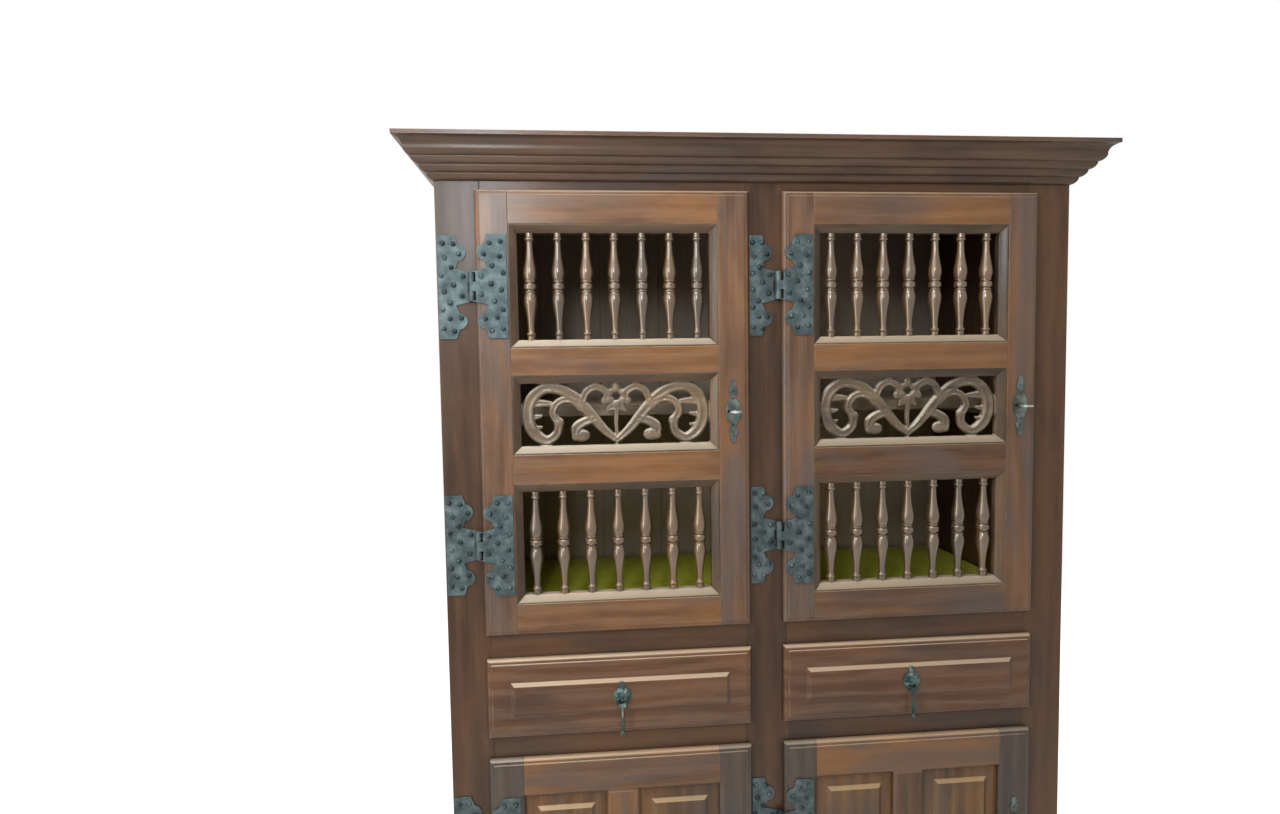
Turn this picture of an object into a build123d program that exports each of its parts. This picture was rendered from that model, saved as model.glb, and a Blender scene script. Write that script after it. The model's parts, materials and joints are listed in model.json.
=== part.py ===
from build123d import *
import os

os.makedirs("parts", exist_ok=True)

# A two-bay trastero: spindle doors above, two drawers, panelled doors below.
# Millimetres. X runs to the right, Y to the back, Z up, and the floor is Z = 0.

# ---- carcase ----
opening_width = 424.0
outer_stile = 70.0
centre_stile = 72.0
frame_thick = 22.0
carcase_depth = 420.0
side_board = 20.0
deck_board = 20.0
housing = 6.0
back_board = 12.0
back_rabbet = 10.0
back_board_count = 8
back_tongue = 5.0
back_gap = 0.4
back_foot = 20.0
foot_rail_foot = 40.0
tenon_length = 25.0
tenon_thick = 8.0
tenon_shoulder = 6.0
shelf_thick = 18.0
shelf_setback = 60.0
cleat_height = 20.0
cleat_width = 16.0
lower_shelf_height = 440.0
felt_thick = 1.5
felt_margin = 2.0

# ---- heights, from the floor up ----
plinth_height = 115.0
foot_rail_show = 20.0
rail_below_drawers = 37.0
drawer_front_height = 132.0
rail_above_drawers = 40.0
frieze = 15.0
cornice_height = 63.0
cornice_reach = 52.0
cornice_reeds = 4
cornice_step = 1.5
cornice_cove_rise = 14.0
cornice_cove_reach = 12.0
cornice_fillet = 7.0
plinth_reach = 22.0
mitre_gap = 0.2

# ---- doors and drawer fronts ----
lip = 8.0
lip_thick = 12.0
lip_round = 6.0
lip_quirk = 1.5
front_thick = 24.0
seat_gap = 0.3
edge_gap = 1.5
door_tenon_length = 30.0
door_tenon_shoulder = 10.0
fit_gap = 0.1

# ---- upper doors, rails and rows from the bottom up ----
upper_stile = 52.0
upper_rails = (52.0, 48.0, 44.0, 54.0)
spindle_row = 196.0
fret_row = 128.0
upper_rows = (spindle_row, fret_row, spindle_row)
mould_width = 13.0
mould_set = 1.0
mould_bevel = 10.0
mould_bevel_depth = 7.5
mould_depth = 20.0
fret_mould_depth = 10.0
fret_rim = 1.0
fret_thick = 10.0
fret_band = 0.165

# ---- turned spindles: radii and heights from the middle ring ----
spindle_count = 7
spindle_pitch = 45.1
spindle_set_back = 1.5
spindle_pin = 8.0
spindle_pin_length = 8.0
spindle_end_radius = 6.5
spindle_end_length = 15.0
spindle_belly_radius = 11.0
spindle_belly_height = 24.0
spindle_groove_radius = 7.5
spindle_ring_radius = 10.5
spindle_ring_half = 4.5

# ---- lower doors, rails and rows from the bottom up ----
lower_stile = 56.0
lower_rails = (70.0, 50.0, 64.0)
panel_row = 215.5
lower_rows = (panel_row, panel_row)
muntin = 54.0
sticking_width = 5.0
sticking_depth = 4.0
panel_groove = 8.0
panel_tongue = 5.0
panel_float = 1.0
panel_border = 20.0
panel_border_rise = 2.5
panel_field_rise = 4.5
panel_slope = 55.0
muntin_tenon = 20.0

# ---- drawers ----
field_border = 30.0
field_rise = 5.0
field_slope = 50.0
drawer_side = 12.0
drawer_bottom = 6.0
drawer_bottom_lift = 8.0
drawer_depth = 357.0
drawer_head_gap = 6.0
guide_height = 35.0
guide_gap = 1.0
kicker_gap = 0.8
kicker_overhang = 24.0

# ---- butterfly hinges ----
leaf_thick = 2.0
leaf_half_height = 82.0
door_leaf_width = 56.0
leaf_margin = 2.0
lobe_reach = 9.0
lobe_height = 54.0
lobe_half = 13.0
waist_reach = 26.0
waist_height = 29.0
scallop = 5.0
barrel_half_height = 22.5
barrel_gap = 0.3
barrel_bite = 0.35
barrel_to_lip = 1.0
leaf_to_barrel = 1.5
pin_radius = 2.6
pin_clearance = 0.08
lower_hinge_from_ends = 145.0

# ---- locks, bolts and keys ----
lock_from_edge = 29.0
case_width = 38.0
case_height = 70.0
case_depth = 12.0
case_wall = 1.5
case_set_in = 3.0
plate_thick = 1.6
plate_half_height = 52.0
plate_half_width = 12.5
key_radius = 3.0
key_clearance = 1.0
key_reach = 14.0
bow_length = 13.0
bow_half_width = 10.0
bow_thick = 3.0
bow_eye_radius = 4.0
bit_reach = 8.0
bit_thick = 2.4
bit_width = 4.0
bolt_travel = 14.0
bolt_thick = 6.0
bolt_height = 16.0
bolt_length = 35.0
bolt_above_key = 10.0
bolt_clearance = 1.0
talon_radius = 4.0

# ---- drawer pulls ----
rosette_radius = 14.5
rosette_thick = 2.0
finial_radius = 5.0
finial_reach = 19.0
ear_width = 3.0
ear_radius = 3.5
pull_pivot_drop = 13.0
pull_pivot_out = 9.0
pull_pin_radius = 1.5
pull_clearance = 0.08
drop_eye_radius = 3.6
drop_eye_width = 5.0
drop_length = 50.0
drop_neck_radius = 1.8
drop_swell_radius = 3.0
drop_ball_radius = 4.0

# ---- worked-out places ----
body_width = 2 * outer_stile + centre_stile + 2 * opening_width
body_right = body_width / 2
front = cornice_reach - (carcase_depth + cornice_reach) / 2
back = front + carcase_depth
frame_back = front + frame_thick
inside_right = body_right - side_board
bays = {"left": -centre_stile / 2 - opening_width, "right": centre_stile / 2}

upper_door_height = sum(upper_rails) + sum(upper_rows)
lower_door_height = sum(lower_rails) + sum(lower_rows)
lower_door_foot = plinth_height + foot_rail_show
drawer_foot = lower_door_foot + lower_door_height + rail_below_drawers
upper_door_foot = drawer_foot + drawer_front_height + rail_above_drawers
cornice_foot = upper_door_foot + upper_door_height + frieze
total_height = cornice_foot + cornice_height
top_board_foot = total_height - deck_board

lower_opening = (lower_door_foot + lip, lower_door_foot + lower_door_height - lip)
drawer_opening = (drawer_foot + lip, drawer_foot + drawer_front_height - lip)
upper_opening = (upper_door_foot + lip, upper_door_foot + upper_door_height - lip)
face_rail_heights = (
    (foot_rail_foot, lower_opening[0]),
    (lower_opening[1], drawer_opening[0]),
    (drawer_opening[1], upper_opening[0]),
    (upper_opening[1], top_board_foot),
)
deck_heads = {"bottom": lower_opening[0], "drawer": drawer_opening[0], "waist": upper_opening[0]}

door_width = opening_width + 2 * lip
door_back_plane = front - seat_gap
door_front = door_back_plane - lip_thick
door_body_back = door_front + front_thick
door_mid = (door_front + door_body_back) / 2
inset = lip + edge_gap

fret_row_middle = upper_door_foot + sum(upper_rails[:2]) + spindle_row + fret_row / 2
lower_lock_height = lower_door_foot + sum(lower_rails[:2]) + panel_row + panel_row / 2
upper_shelf_height = fret_row_middle - shelf_thick / 2

spindle_y = door_mid + spindle_set_back
hinge_axis_y = (front - leaf_thick + door_front) / 2
barrel_radius = (front - leaf_thick - door_front) / 2 + barrel_bite
axis_to_lip = barrel_radius + barrel_to_lip
bolt_y = door_body_back + bolt_clearance


def mid(span):
    """The middle of a pair of limits."""
    return (span[0] + span[1]) / 2


def length(span):
    """The distance between a pair of limits."""
    return span[1] - span[0]


def upright(y):
    """An upright plane at depth y that faces the front: sketches there are in X and Z."""
    return Plane.XZ.offset(-y)


def block(x, y, z):
    """A plain board between three pairs of limits."""
    with BuildPart() as piece:
        with BuildSketch(Plane.XY.offset(z[0])):
            with Locations((mid(x), mid(y))):
                Rectangle(length(x), length(y))
        extrude(amount=length(z))
    return piece.part


def save(name, part):
    """Name a finished piece and write its file."""
    part.label = name
    export_step(part, f"parts/{name}.step")


# ---- carcase boards ----
def deck(head, y=(frame_back, back - back_board)):
    """A board that runs across the carcase and is housed in both sides."""
    reach = inside_right + housing
    return block((-reach, reach), y, (head - deck_board, head))


def carcase_side():
    """The right-hand side, housed for the decks and rabbeted for the back boards."""
    with BuildPart() as side:
        add(block((inside_right, body_right), (frame_back, back), (0, top_board_foot)))
        for head in deck_heads.values():
            add(deck(head), mode=Mode.SUBTRACT)
        rabbet = (inside_right, inside_right + back_rabbet)
        add(block(rabbet, (back - back_board, back), (0, top_board_foot)), mode=Mode.SUBTRACT)
    return side.part


def back_board_piece(number):
    """One upright back board: a tongue on its right edge and a groove in its left edge."""
    reach = inside_right + back_rabbet
    pitch = 2 * reach / back_board_count
    x = (-reach + number * pitch, -reach + (number + 1) * pitch - back_gap)
    z = (back_foot, top_board_foot)
    third = back_board / 3
    with BuildPart() as piece:
        add(block(x, (back - back_board, back), z))
        if number < back_board_count - 1:
            add(block((x[1], x[1] + back_tongue), (back - 2 * third, back - third), z))
        if number > 0:
            groove_x = (x[0], x[0] + back_tongue)
            groove_y = (back - 2 * third - back_gap, back - third + back_gap)
            add(block(groove_x, groove_y, z), mode=Mode.SUBTRACT)
    return piece.part


def face_tenon(bay_left, z, grow=0.0):
    """The tongue of a face rail, which runs into the stiles on both sides of its bay."""
    middle = (front + frame_back) / 2
    x = (bay_left - tenon_length - grow, bay_left + opening_width + tenon_length + grow)
    y = (middle - tenon_thick / 2 - grow, middle + tenon_thick / 2 + grow)
    return block(x, y, (z[0] + tenon_shoulder - grow, z[1] - tenon_shoulder + grow))


def bolt_pocket(left, height):
    """The pocket in a face stile that takes the end of a lock bolt."""
    edge = left + door_width - lip
    reach = bolt_travel - inset - case_set_in + bolt_clearance
    x = (edge - 1, left + door_width + reach)
    low = height + bolt_above_key - bolt_clearance
    return block(x, (bolt_y - bolt_clearance, frame_back), (low, low + bolt_height + 2 * bolt_clearance))


# ---- mitred mouldings ----
def cornice_profile(plane):
    """Cornice section: a slope of stepped reeds, a broad cove and a top fillet."""
    reach, rise = cornice_reach, cornice_height
    across = (reach - cornice_cove_reach - cornice_step) / cornice_reeds
    up = (rise - cornice_cove_rise - cornice_fillet) / cornice_reeds
    with BuildSketch(plane) as section:
        with BuildLine():
            for number in range(cornice_reeds):
                x, z = number * across, number * up
                Line((x, z), (x + cornice_step, z))
                bead = ThreePointArc(
                    (x + cornice_step, z),
                    (x + 0.72 * across, z + 0.32 * up),
                    (x + across, z + up - cornice_step),
                )
                Line(bead @ 1, (x + across, z + up))
            x, z = reach - cornice_cove_reach - cornice_step, rise - cornice_cove_rise - cornice_fillet
            cove = ThreePointArc(
                (x, z),
                (x + 0.3 * cornice_cove_reach, z + 0.68 * cornice_cove_rise),
                (x + cornice_cove_reach, z + cornice_cove_rise),
            )
            Polyline(cove @ 1, (reach, rise - cornice_fillet), (reach, rise), (0, rise), (0, 0))
        make_face()
    return section.sketch


def plinth_profile(plane):
    """Plinth section: a plain board with a rounded shoulder and a cove above it."""
    reach, rise = plinth_reach, plinth_height
    with BuildSketch(plane) as section:
        with BuildLine():
            board_edge = Polyline((0, 0), (reach, 0), (reach, 0.74 * rise))
            shoulder = ThreePointArc(
                board_edge @ 1,
                (0.92 * reach, 0.783 * rise),
                (0.73 * reach, 0.81 * rise),
            )
            step = Polyline(shoulder @ 1, (0.73 * reach, 0.84 * rise))
            cove = ThreePointArc(step @ 1, (0.45 * reach, 0.87 * rise), (0.32 * reach, 0.96 * rise))
            Polyline(cove @ 1, (0.32 * reach, rise), (0, rise), (0, 0))
        make_face()
    return section.sketch


def front_moulding(profile, foot, reach):
    """A moulding across the front, mitred at both ends."""
    span = body_right + reach
    plane = Plane(origin=(span, front, foot), x_dir=(0, -1, 0), z_dir=(-1, 0, 0))
    with BuildPart() as piece:
        extrude(profile(plane), amount=2 * span)
        for side in (-1, 1):
            corner = (side * (body_right - mitre_gap), front, foot)
            split(bisect_by=Plane(origin=corner, z_dir=(-side, -1, 0)), keep=Keep.TOP)
    return piece.part


def end_moulding(profile, foot, reach):
    """A moulding along the right-hand side, mitred at the front and square at the back."""
    plane = Plane(origin=(body_right, back, foot), x_dir=(1, 0, 0), z_dir=(0, -1, 0))
    with BuildPart() as piece:
        extrude(profile(plane), amount=carcase_depth + reach)
        split(bisect_by=Plane(origin=(body_right, front, foot), z_dir=(1, 1, 0)), keep=Keep.TOP)
    return piece.part


def moulding_set(profile, foot, reach):
    """The front length and the two returns, still separate at the mitres."""
    with BuildPart() as pieces:
        add(front_moulding(profile, foot, reach))
        add(end_moulding(profile, foot, reach))
        add(mirror(end_moulding(profile, foot, reach), about=Plane.YZ))
    return pieces.part


# ---- lipped doors and drawer fronts ----
def lipped_blank(left, foot, height, quirk=lip_quirk):
    """A front whose rounded lip laps the face frame while its body fills the opening."""
    middle = (left + door_width / 2, foot + height / 2)
    with BuildPart() as blank:
        with BuildSketch(upright(door_back_plane)):
            with Locations(middle):
                Rectangle(door_width, height)
        extrude(amount=lip_thick - quirk)
        fillet(blank.faces().sort_by(Axis.Y)[0].edges(), lip_round)
        with BuildSketch(upright(door_back_plane)):
            with Locations(middle):
                Rectangle(door_width - 2 * lip, height - 2 * lip)
        extrude(amount=lip_thick)
        with BuildSketch(upright(door_body_back)):
            with Locations(middle):
                Rectangle(door_width - 2 * inset, height - 2 * inset)
        extrude(amount=front_thick - lip_thick)
    return blank.part


def cut_from(blank, x, z):
    """The piece of a blank that lies between the given limits."""
    with BuildPart() as piece:
        add(blank)
        add(block(x, (door_front - 1, door_body_back + 1), z), mode=Mode.INTERSECT)
    return piece.part


def rail_spans(foot, rails, rows):
    """The limits in height of each door rail, from the bottom up."""
    spans = []
    height = foot
    for number, rail in enumerate(rails):
        spans.append((height, height + rail))
        height += rail + (rows[number] if number < len(rows) else 0)
    return spans


def row_spans(foot, rails, rows):
    """The limits in height of each opening between the door rails."""
    spans = rail_spans(foot, rails, rows)
    return [(low[1], high[0]) for low, high in zip(spans, spans[1:])]


def door_tenon(x, span, grow=0.0):
    """The tongue of one door rail, which runs into both stiles."""
    y = (door_mid - tenon_thick / 2 - grow, door_mid + tenon_thick / 2 + grow)
    z = (span[0] + door_tenon_shoulder - grow, span[1] - door_tenon_shoulder + grow)
    return block((x[0] - door_tenon_length - grow, x[1] + door_tenon_length + grow), y, z)


def key_bore(left, height):
    """The hole for a key through a lock stile, its plate and the front of its lock case."""
    at = (left + door_width - lock_from_edge, height)
    with BuildPart() as bore:
        with BuildSketch(upright(door_body_back)):
            with Locations(at):
                Circle(key_radius + key_clearance)
            with Locations((at[0] - bit_reach / 2, height)):
                Rectangle(bit_reach + 2 * key_clearance, bit_thick + 2 * key_clearance)
        extrude(amount=front_thick + plate_thick + 1)
    return bore.part


def door_stiles(left, foot, height, stile, rails, rows, lock_height):
    """The two uprights of a door, mortised for its rails and bored for its key."""
    blank = lipped_blank(left, foot, height)
    right = left + door_width
    with BuildPart() as stiles:
        add(cut_from(blank, (left, left + stile), (foot, foot + height)))
        add(cut_from(blank, (right - stile, right), (foot, foot + height)))
        for span in rail_spans(foot, rails, rows):
            add(door_tenon((left + stile, right - stile), span, fit_gap), mode=Mode.SUBTRACT)
        add(key_bore(left, lock_height), mode=Mode.SUBTRACT)
    return stiles.part


def door_rails(left, foot, height, stile, rails, rows):
    """The cross rails of a door with their tenons."""
    blank = lipped_blank(left, foot, height)
    x = (left + stile, left + door_width - stile)
    with BuildPart() as pieces:
        for span in rail_spans(foot, rails, rows):
            add(cut_from(blank, x, span))
            add(door_tenon(x, span))
    return pieces.part


# ---- upper doors: mitred moulds, spindles and fretwork ----
def mould_ring(x, z, depth):
    """Four mitred strips that line a door opening, bevelled towards it."""
    middle = (mid(x), mid(z))
    with BuildPart() as ring:
        with BuildSketch(upright(door_front + mould_set + depth)):
            with Locations(middle):
                Rectangle(length(x), length(z))
                Rectangle(length(x) - 2 * mould_width, length(z) - 2 * mould_width, mode=Mode.SUBTRACT)
        extrude(amount=depth)
        for depth_in, spread in ((mould_bevel_depth, 0), (0, mould_bevel)):
            with BuildSketch(upright(door_front + mould_set + depth_in)):
                with Locations(middle):
                    Rectangle(
                        length(x) - 2 * mould_width + 2 * spread,
                        length(z) - 2 * mould_width + 2 * spread,
                    )
        loft(mode=Mode.SUBTRACT)
        for side in (-1, 1):
            for level in (-1, 1):
                corner = (
                    middle[0] + side * (length(x) - mould_width) / 2,
                    middle[1] + level * (length(z) - mould_width) / 2,
                )
                with BuildSketch(upright(door_front + mould_set + depth)):
                    with Locations(corner):
                        Rectangle(mitre_gap, 2 * mould_width, rotation=-45 * side * level)
                extrude(amount=depth, mode=Mode.SUBTRACT)
    return ring.part


def spindle_pins(x, z, grow=0.0):
    """The square ends of a row of spindles, let into the moulds above and below."""
    half = spindle_pin / 2 + grow
    first = mid(x) - spindle_pitch * (spindle_count - 1) / 2
    with BuildPart() as pins:
        for number in range(spindle_count):
            across = first + number * spindle_pitch
            for end in (z[0], z[1] - mould_width):
                up = (end + mould_width - spindle_pin_length - grow, end + mould_width)
                if end > z[0]:
                    up = (end, end + spindle_pin_length + grow)
                add(block((across - half, across + half), (spindle_y - half, spindle_y + half), up))
    return pins.part


def upper_moulds(left):
    """The mitred linings of the three openings of an upper door."""
    x = (left + upper_stile, left + door_width - upper_stile)
    with BuildPart() as moulds:
        for z in row_spans(upper_door_foot, upper_rails, upper_rows):
            spindled = length(z) > fret_row
            add(mould_ring(x, z, mould_depth if spindled else fret_mould_depth))
            if spindled:
                add(spindle_pins(x, z, fit_gap), mode=Mode.SUBTRACT)
    return moulds.part


def spindle_shape(half):
    """A turned spindle on the Z axis, alike above and below its middle ring."""
    end = half - spindle_end_length
    with BuildPart() as spindle:
        with BuildSketch(Plane.XZ):
            with BuildLine():
                Polyline(
                    (0, half),
                    (spindle_end_radius, half),
                    (spindle_end_radius, end),
                    (spindle_belly_radius, spindle_belly_height),
                    (spindle_groove_radius, spindle_ring_half),
                    (spindle_ring_radius, 0),
                    (spindle_groove_radius, -spindle_ring_half),
                    (spindle_belly_radius, -spindle_belly_height),
                    (spindle_end_radius, -end),
                    (spindle_end_radius, -half),
                    (0, -half),
                    close=True,
                )
            make_face()
        revolve(axis=Axis.Z)
    return spindle.part


def upper_spindles(left):
    """Two rows of turned spindles, above and below the fretwork."""
    x = (left + upper_stile, left + door_width - upper_stile)
    turned = spindle_shape(spindle_row / 2 - mould_width)
    with BuildPart() as spindles:
        for z in row_spans(upper_door_foot, upper_rails, upper_rows):
            if length(z) > fret_row:
                first = mid(x) - spindle_pitch * (spindle_count - 1) / 2
                places = [(first + n * spindle_pitch, spindle_y, mid(z)) for n in range(spindle_count)]
                with Locations(*places):
                    add(turned)
                add(spindle_pins(x, z))
    return spindles.part


def scroll(points, widths):
    """A tapering band of fretwork along the given points, rounded at its last one."""
    line = Spline(*points)
    count = len(widths)
    near, far = [], []
    for number, width in enumerate(widths):
        at = line @ (number / (count - 1))
        along = line % (number / (count - 1))
        across = Vector(-along.Y, along.X) * (width / 2)
        near.append(at + across)
        far.append(at - across)
    with BuildSketch() as band:
        with BuildLine():
            Spline(*near)
            Line(near[-1], far[-1])
            Spline(*far[::-1])
            Line(far[0], near[0])
        make_face()
        with Locations(line @ 1):
            Circle(widths[-1] / 2)
    return band.sketch


def fret_half(wide, high):
    """The left half of the fretwork, in a field from -wide to 0 and -high to high."""
    def at(*points):
        return [(a * wide, b * high) for a, b in points]

    band = high * fret_band
    with BuildSketch() as half:
        add(scroll(
            at((0.02, -0.92), (-0.14, -0.5), (-0.29, 0.04), (-0.43, 0.5), (-0.58, 0.78), (-0.76, 0.82),
               (-0.9, 0.44), (-0.93, -0.1), (-0.87, -0.58), (-0.74, -0.84), (-0.63, -0.62),
               (-0.61, -0.27)),
            [band * w for w in (1.2, 1.8, 2.2, 2.3, 2.2, 2.2, 2.4, 2.6, 2.4, 2.0, 1.8, 1.7)],
        ))
        add(scroll(
            at((-0.61, -0.27), (-0.67, 0.06), (-0.61, 0.38), (-0.49, 0.46), (-0.37, 0.26)),
            [band * w for w in (1.6, 1.6, 1.5, 1.6, 1.9)],
        ))
        add(scroll(
            at((-0.22, -0.16), (-0.34, -0.26), (-0.43, -0.46), (-0.43, -0.72)),
            [band * w for w in (1.6, 1.9, 1.9, 1.5)],
        ))
        add(scroll(
            at((-0.36, 0.36), (-0.31, 0.7), (-0.21, 0.85), (-0.1, 0.66), (-0.12, 0.4)),
            [band * w for w in (1.5, 1.6, 1.7, 1.6, 1.3)],
        ))
        with Locations(at((-0.38, -0.7))[0]):
            Ellipse(0.09 * wide, 0.22 * high)
        with Locations(at((-0.76, 0.34))[0]):
            Ellipse(0.12 * wide, 0.13 * high)
        for up in (-0.06, -0.42):
            with Locations(at((-0.83, up))[0]):
                Ellipse(0.06 * wide, 0.08 * high)
    return half.sketch


def fretwork(left):
    """A pierced board: paired scrolls about a flower, held behind its mitred mould."""
    x = (left + upper_stile, left + door_width - upper_stile)
    z = row_spans(upper_door_foot, upper_rails, upper_rows)[1]
    wide = length(x) / 2 - mould_width
    high = length(z) / 2 - mould_width
    board_back = door_front + mould_set + fret_mould_depth + fret_thick
    scrolls = fret_half(wide, high)
    with BuildPart() as board:
        with BuildSketch(Plane(origin=(mid(x), board_back, mid(z)), x_dir=(1, 0, 0), z_dir=(0, -1, 0))):
            Rectangle(length(x), length(z))
            Rectangle(2 * (wide - fret_rim), 2 * (high - fret_rim), mode=Mode.SUBTRACT)
            add(scrolls)
            add(mirror(scrolls, about=Plane.YZ))
            with Locations((0, 0.52 * high)):
                Ellipse(0.16 * wide, 0.4 * high)
            with Locations((0, -0.3 * high)):
                Ellipse(0.035 * wide, 0.66 * high)
            with Locations((-0.07 * wide, 0.16 * high), (0.07 * wide, 0.16 * high)):
                Ellipse(0.055 * wide, 0.14 * high)
            with Locations((0, 0.9 * high)):
                Ellipse(0.06 * wide, 0.12 * high)
            with Locations((0, 0.55 * high)):
                Circle(0.12 * high, mode=Mode.SUBTRACT)
        extrude(amount=fret_thick)
    return board.part


# ---- lower doors: muntins and raised panels ----
def panel_columns(left):
    """The limits across of the two columns of panels."""
    x = (left + lower_stile, left + door_width - lower_stile)
    return [(x[0], mid(x) - muntin / 2), (mid(x) + muntin / 2, x[1])]


def panel_seat(x, z):
    """The groove around one panel, with room for the panel to swell."""
    reach = panel_groove
    y = (door_mid - panel_tongue / 2 - fit_gap, door_mid + panel_tongue / 2 + fit_gap)
    return block((x[0] - reach, x[1] + reach), y, (z[0] - reach, z[1] + reach))


def panel_sticking(x, z):
    """The bevel that is cut round the front of one panel's opening."""
    with BuildPart() as bevel:
        for depth in (sticking_depth, -1):
            spread = sticking_width * (1 - depth / sticking_depth)
            with BuildSketch(upright(door_front + depth)):
                with Locations((mid(x), mid(z))):
                    Rectangle(length(x) + 2 * spread, length(z) + 2 * spread)
        loft()
    return bevel.part


def panel_places(left):
    """The limits across and in height of the four panels of a lower door."""
    rows = row_spans(lower_door_foot, lower_rails, lower_rows)
    return [(x, z) for z in rows for x in panel_columns(left)]


def raised_panel(x, z):
    """One panel: a thin tongue, a sloping border and a raised field."""
    reach = panel_groove - panel_float
    middle = (mid(x), mid(z))
    tongue_front = door_mid - panel_tongue / 2
    wide, high = length(x), length(z)
    with BuildPart() as panel:
        with BuildSketch(upright(tongue_front + panel_tongue)):
            with Locations(middle):
                Rectangle(wide + 2 * reach, high + 2 * reach)
        extrude(amount=panel_tongue)
        with BuildSketch(upright(tongue_front)):
            with Locations(middle):
                Rectangle(wide - 2 * panel_float, high - 2 * panel_float)
        with BuildSketch(upright(tongue_front - panel_border_rise)):
            with Locations(middle):
                Rectangle(wide - 2 * panel_border, high - 2 * panel_border)
        loft()
        with BuildSketch(upright(tongue_front - panel_border_rise)):
            with Locations(middle):
                Rectangle(wide - 2 * panel_border, high - 2 * panel_border)
        extrude(amount=panel_field_rise, taper=panel_slope)
    return panel.part


def lower_panels(left):
    """The four raised panels of a lower door."""
    with BuildPart() as panels:
        for x, z in panel_places(left):
            add(raised_panel(x, z))
    return panels.part


def muntin_post(left, z, grow=0.0):
    """A short upright between two rails, with a tongue at each end."""
    middle = left + door_width / 2
    x = (middle - muntin / 2, middle + muntin / 2)
    tongue_x = (x[0] + panel_groove - grow, x[1] - panel_groove + grow)
    y = (door_mid - tenon_thick / 2 - grow, door_mid + tenon_thick / 2 + grow)
    with BuildPart() as post:
        if not grow:
            add(block(x, (door_front, door_body_back), (z[0] + mitre_gap, z[1] - mitre_gap)))
        add(block(tongue_x, y, (z[0] - muntin_tenon - grow, z[1] + muntin_tenon + grow)))
    return post.part


def lower_stiles(left):
    """The grooved uprights of a lower door."""
    uprights = door_stiles(
        left, lower_door_foot, lower_door_height, lower_stile, lower_rails, lower_rows, lower_lock_height)
    with BuildPart() as stiles:
        add(uprights)
        for x, z in panel_places(left):
            add(panel_seat(x, z), mode=Mode.SUBTRACT)
            add(panel_sticking(x, z), mode=Mode.SUBTRACT)
    return stiles.part


def lower_rail_set(left):
    """The grooved cross rails of a lower door and the two muntins between them."""
    rows = row_spans(lower_door_foot, lower_rails, lower_rows)
    with BuildPart() as rails:
        add(door_rails(left, lower_door_foot, lower_door_height, lower_stile, lower_rails, lower_rows))
        for z in rows:
            add(muntin_post(left, z, fit_gap), mode=Mode.SUBTRACT)
        for z in rows:
            add(muntin_post(left, z))
        for x, z in panel_places(left):
            add(panel_seat(x, z), mode=Mode.SUBTRACT)
            add(panel_sticking(x, z), mode=Mode.SUBTRACT)
    return rails.part


# ---- drawers ----
def drawer_front(left):
    """A lipped drawer front with a raised field, grooved for the drawer's bottom."""
    x = (left + lip + field_border, left + door_width - lip - field_border)
    z = (drawer_foot + lip + field_border, drawer_foot + drawer_front_height - lip - field_border)
    with BuildPart() as face:
        add(lipped_blank(left, drawer_foot, drawer_front_height))
        with BuildSketch(upright(door_front)):
            with Locations((mid(x), mid(z))):
                Rectangle(length(x), length(z))
        extrude(amount=field_rise, taper=field_slope)
        add(drawer_bottom_panel(left, fit_gap), mode=Mode.SUBTRACT)
    return face.part


def drawer_bottom_panel(left, grow=0.0):
    """The bottom of a drawer, which slides into grooves in its front and sides."""
    x0 = left + inset + drawer_side / 2
    x1 = left + door_width - inset - drawer_side / 2
    low = drawer_opening[0] + seat_gap + drawer_bottom_lift
    y = (door_body_back - drawer_side / 2 - grow, door_body_back + drawer_depth)
    return block((x0 - grow, x1 + grow), y, (low - grow, low + drawer_bottom + grow))


def drawer_box(left):
    """The sides and the back of a drawer, fixed behind its front."""
    x0, x1 = left + inset, left + door_width - inset
    y = (door_body_back, door_body_back + drawer_depth)
    z = (drawer_opening[0] + seat_gap, drawer_opening[1] - drawer_head_gap)
    above_bottom = z[0] + drawer_bottom_lift + drawer_bottom
    with BuildPart() as box:
        add(block((x0, x0 + drawer_side), y, z))
        add(block((x1 - drawer_side, x1), y, z))
        inner_x = (x0 + drawer_side + fit_gap, x1 - drawer_side - fit_gap)
        add(block(inner_x, (y[1] - drawer_side, y[1]), (above_bottom + fit_gap, z[1])))
        add(drawer_bottom_panel(left, fit_gap), mode=Mode.SUBTRACT)
        add(drawer_bottom_panel(left))
    return box.part


# ---- butterfly hinges ----
def leaf(axis_x, height, side, width):
    """A hinge leaf: side 1 lies on the door, side -1 on the face frame."""
    y = door_front if side == 1 else front
    plane = Plane(origin=(axis_x, y, height), x_dir=(side, 0, 0), z_dir=(0, -side, 0))
    clear = barrel_radius + leaf_to_barrel
    third = 2 * barrel_half_height / 3
    middle = third + 2 * barrel_gap if side == -1 else 0
    with BuildSketch(plane) as outline:
        with BuildLine():
            edge = Polyline(
                (width, 0),
                (width, leaf_half_height),
                (waist_reach, leaf_half_height),
                (waist_reach - scallop, lobe_height + lobe_half),
            )
            lobe = ThreePointArc(
                edge @ 1,
                (lobe_reach, lobe_height),
                (waist_reach - scallop, lobe_height - lobe_half),
            )
            Polyline(lobe @ 1, (waist_reach, waist_height), (0, barrel_half_height), (0, 0))
            mirror(about=Plane.XZ)
        make_face()
        if side == -1:
            Rectangle(2 * clear, middle, mode=Mode.SUBTRACT)
        else:
            with Locations((0, third), (0, -third)):
                Rectangle(2 * clear, third + barrel_gap, mode=Mode.SUBTRACT)
    return extrude(outline.sketch, amount=side * leaf_thick)


def barrel(axis_x, low, high):
    """A length of hinge barrel without its bore."""
    with BuildPart() as knuckle:
        with BuildSketch(Plane.XY.offset(low)):
            with Locations((axis_x, hinge_axis_y)):
                Circle(barrel_radius)
        extrude(amount=high - low)
    return knuckle.part


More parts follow.
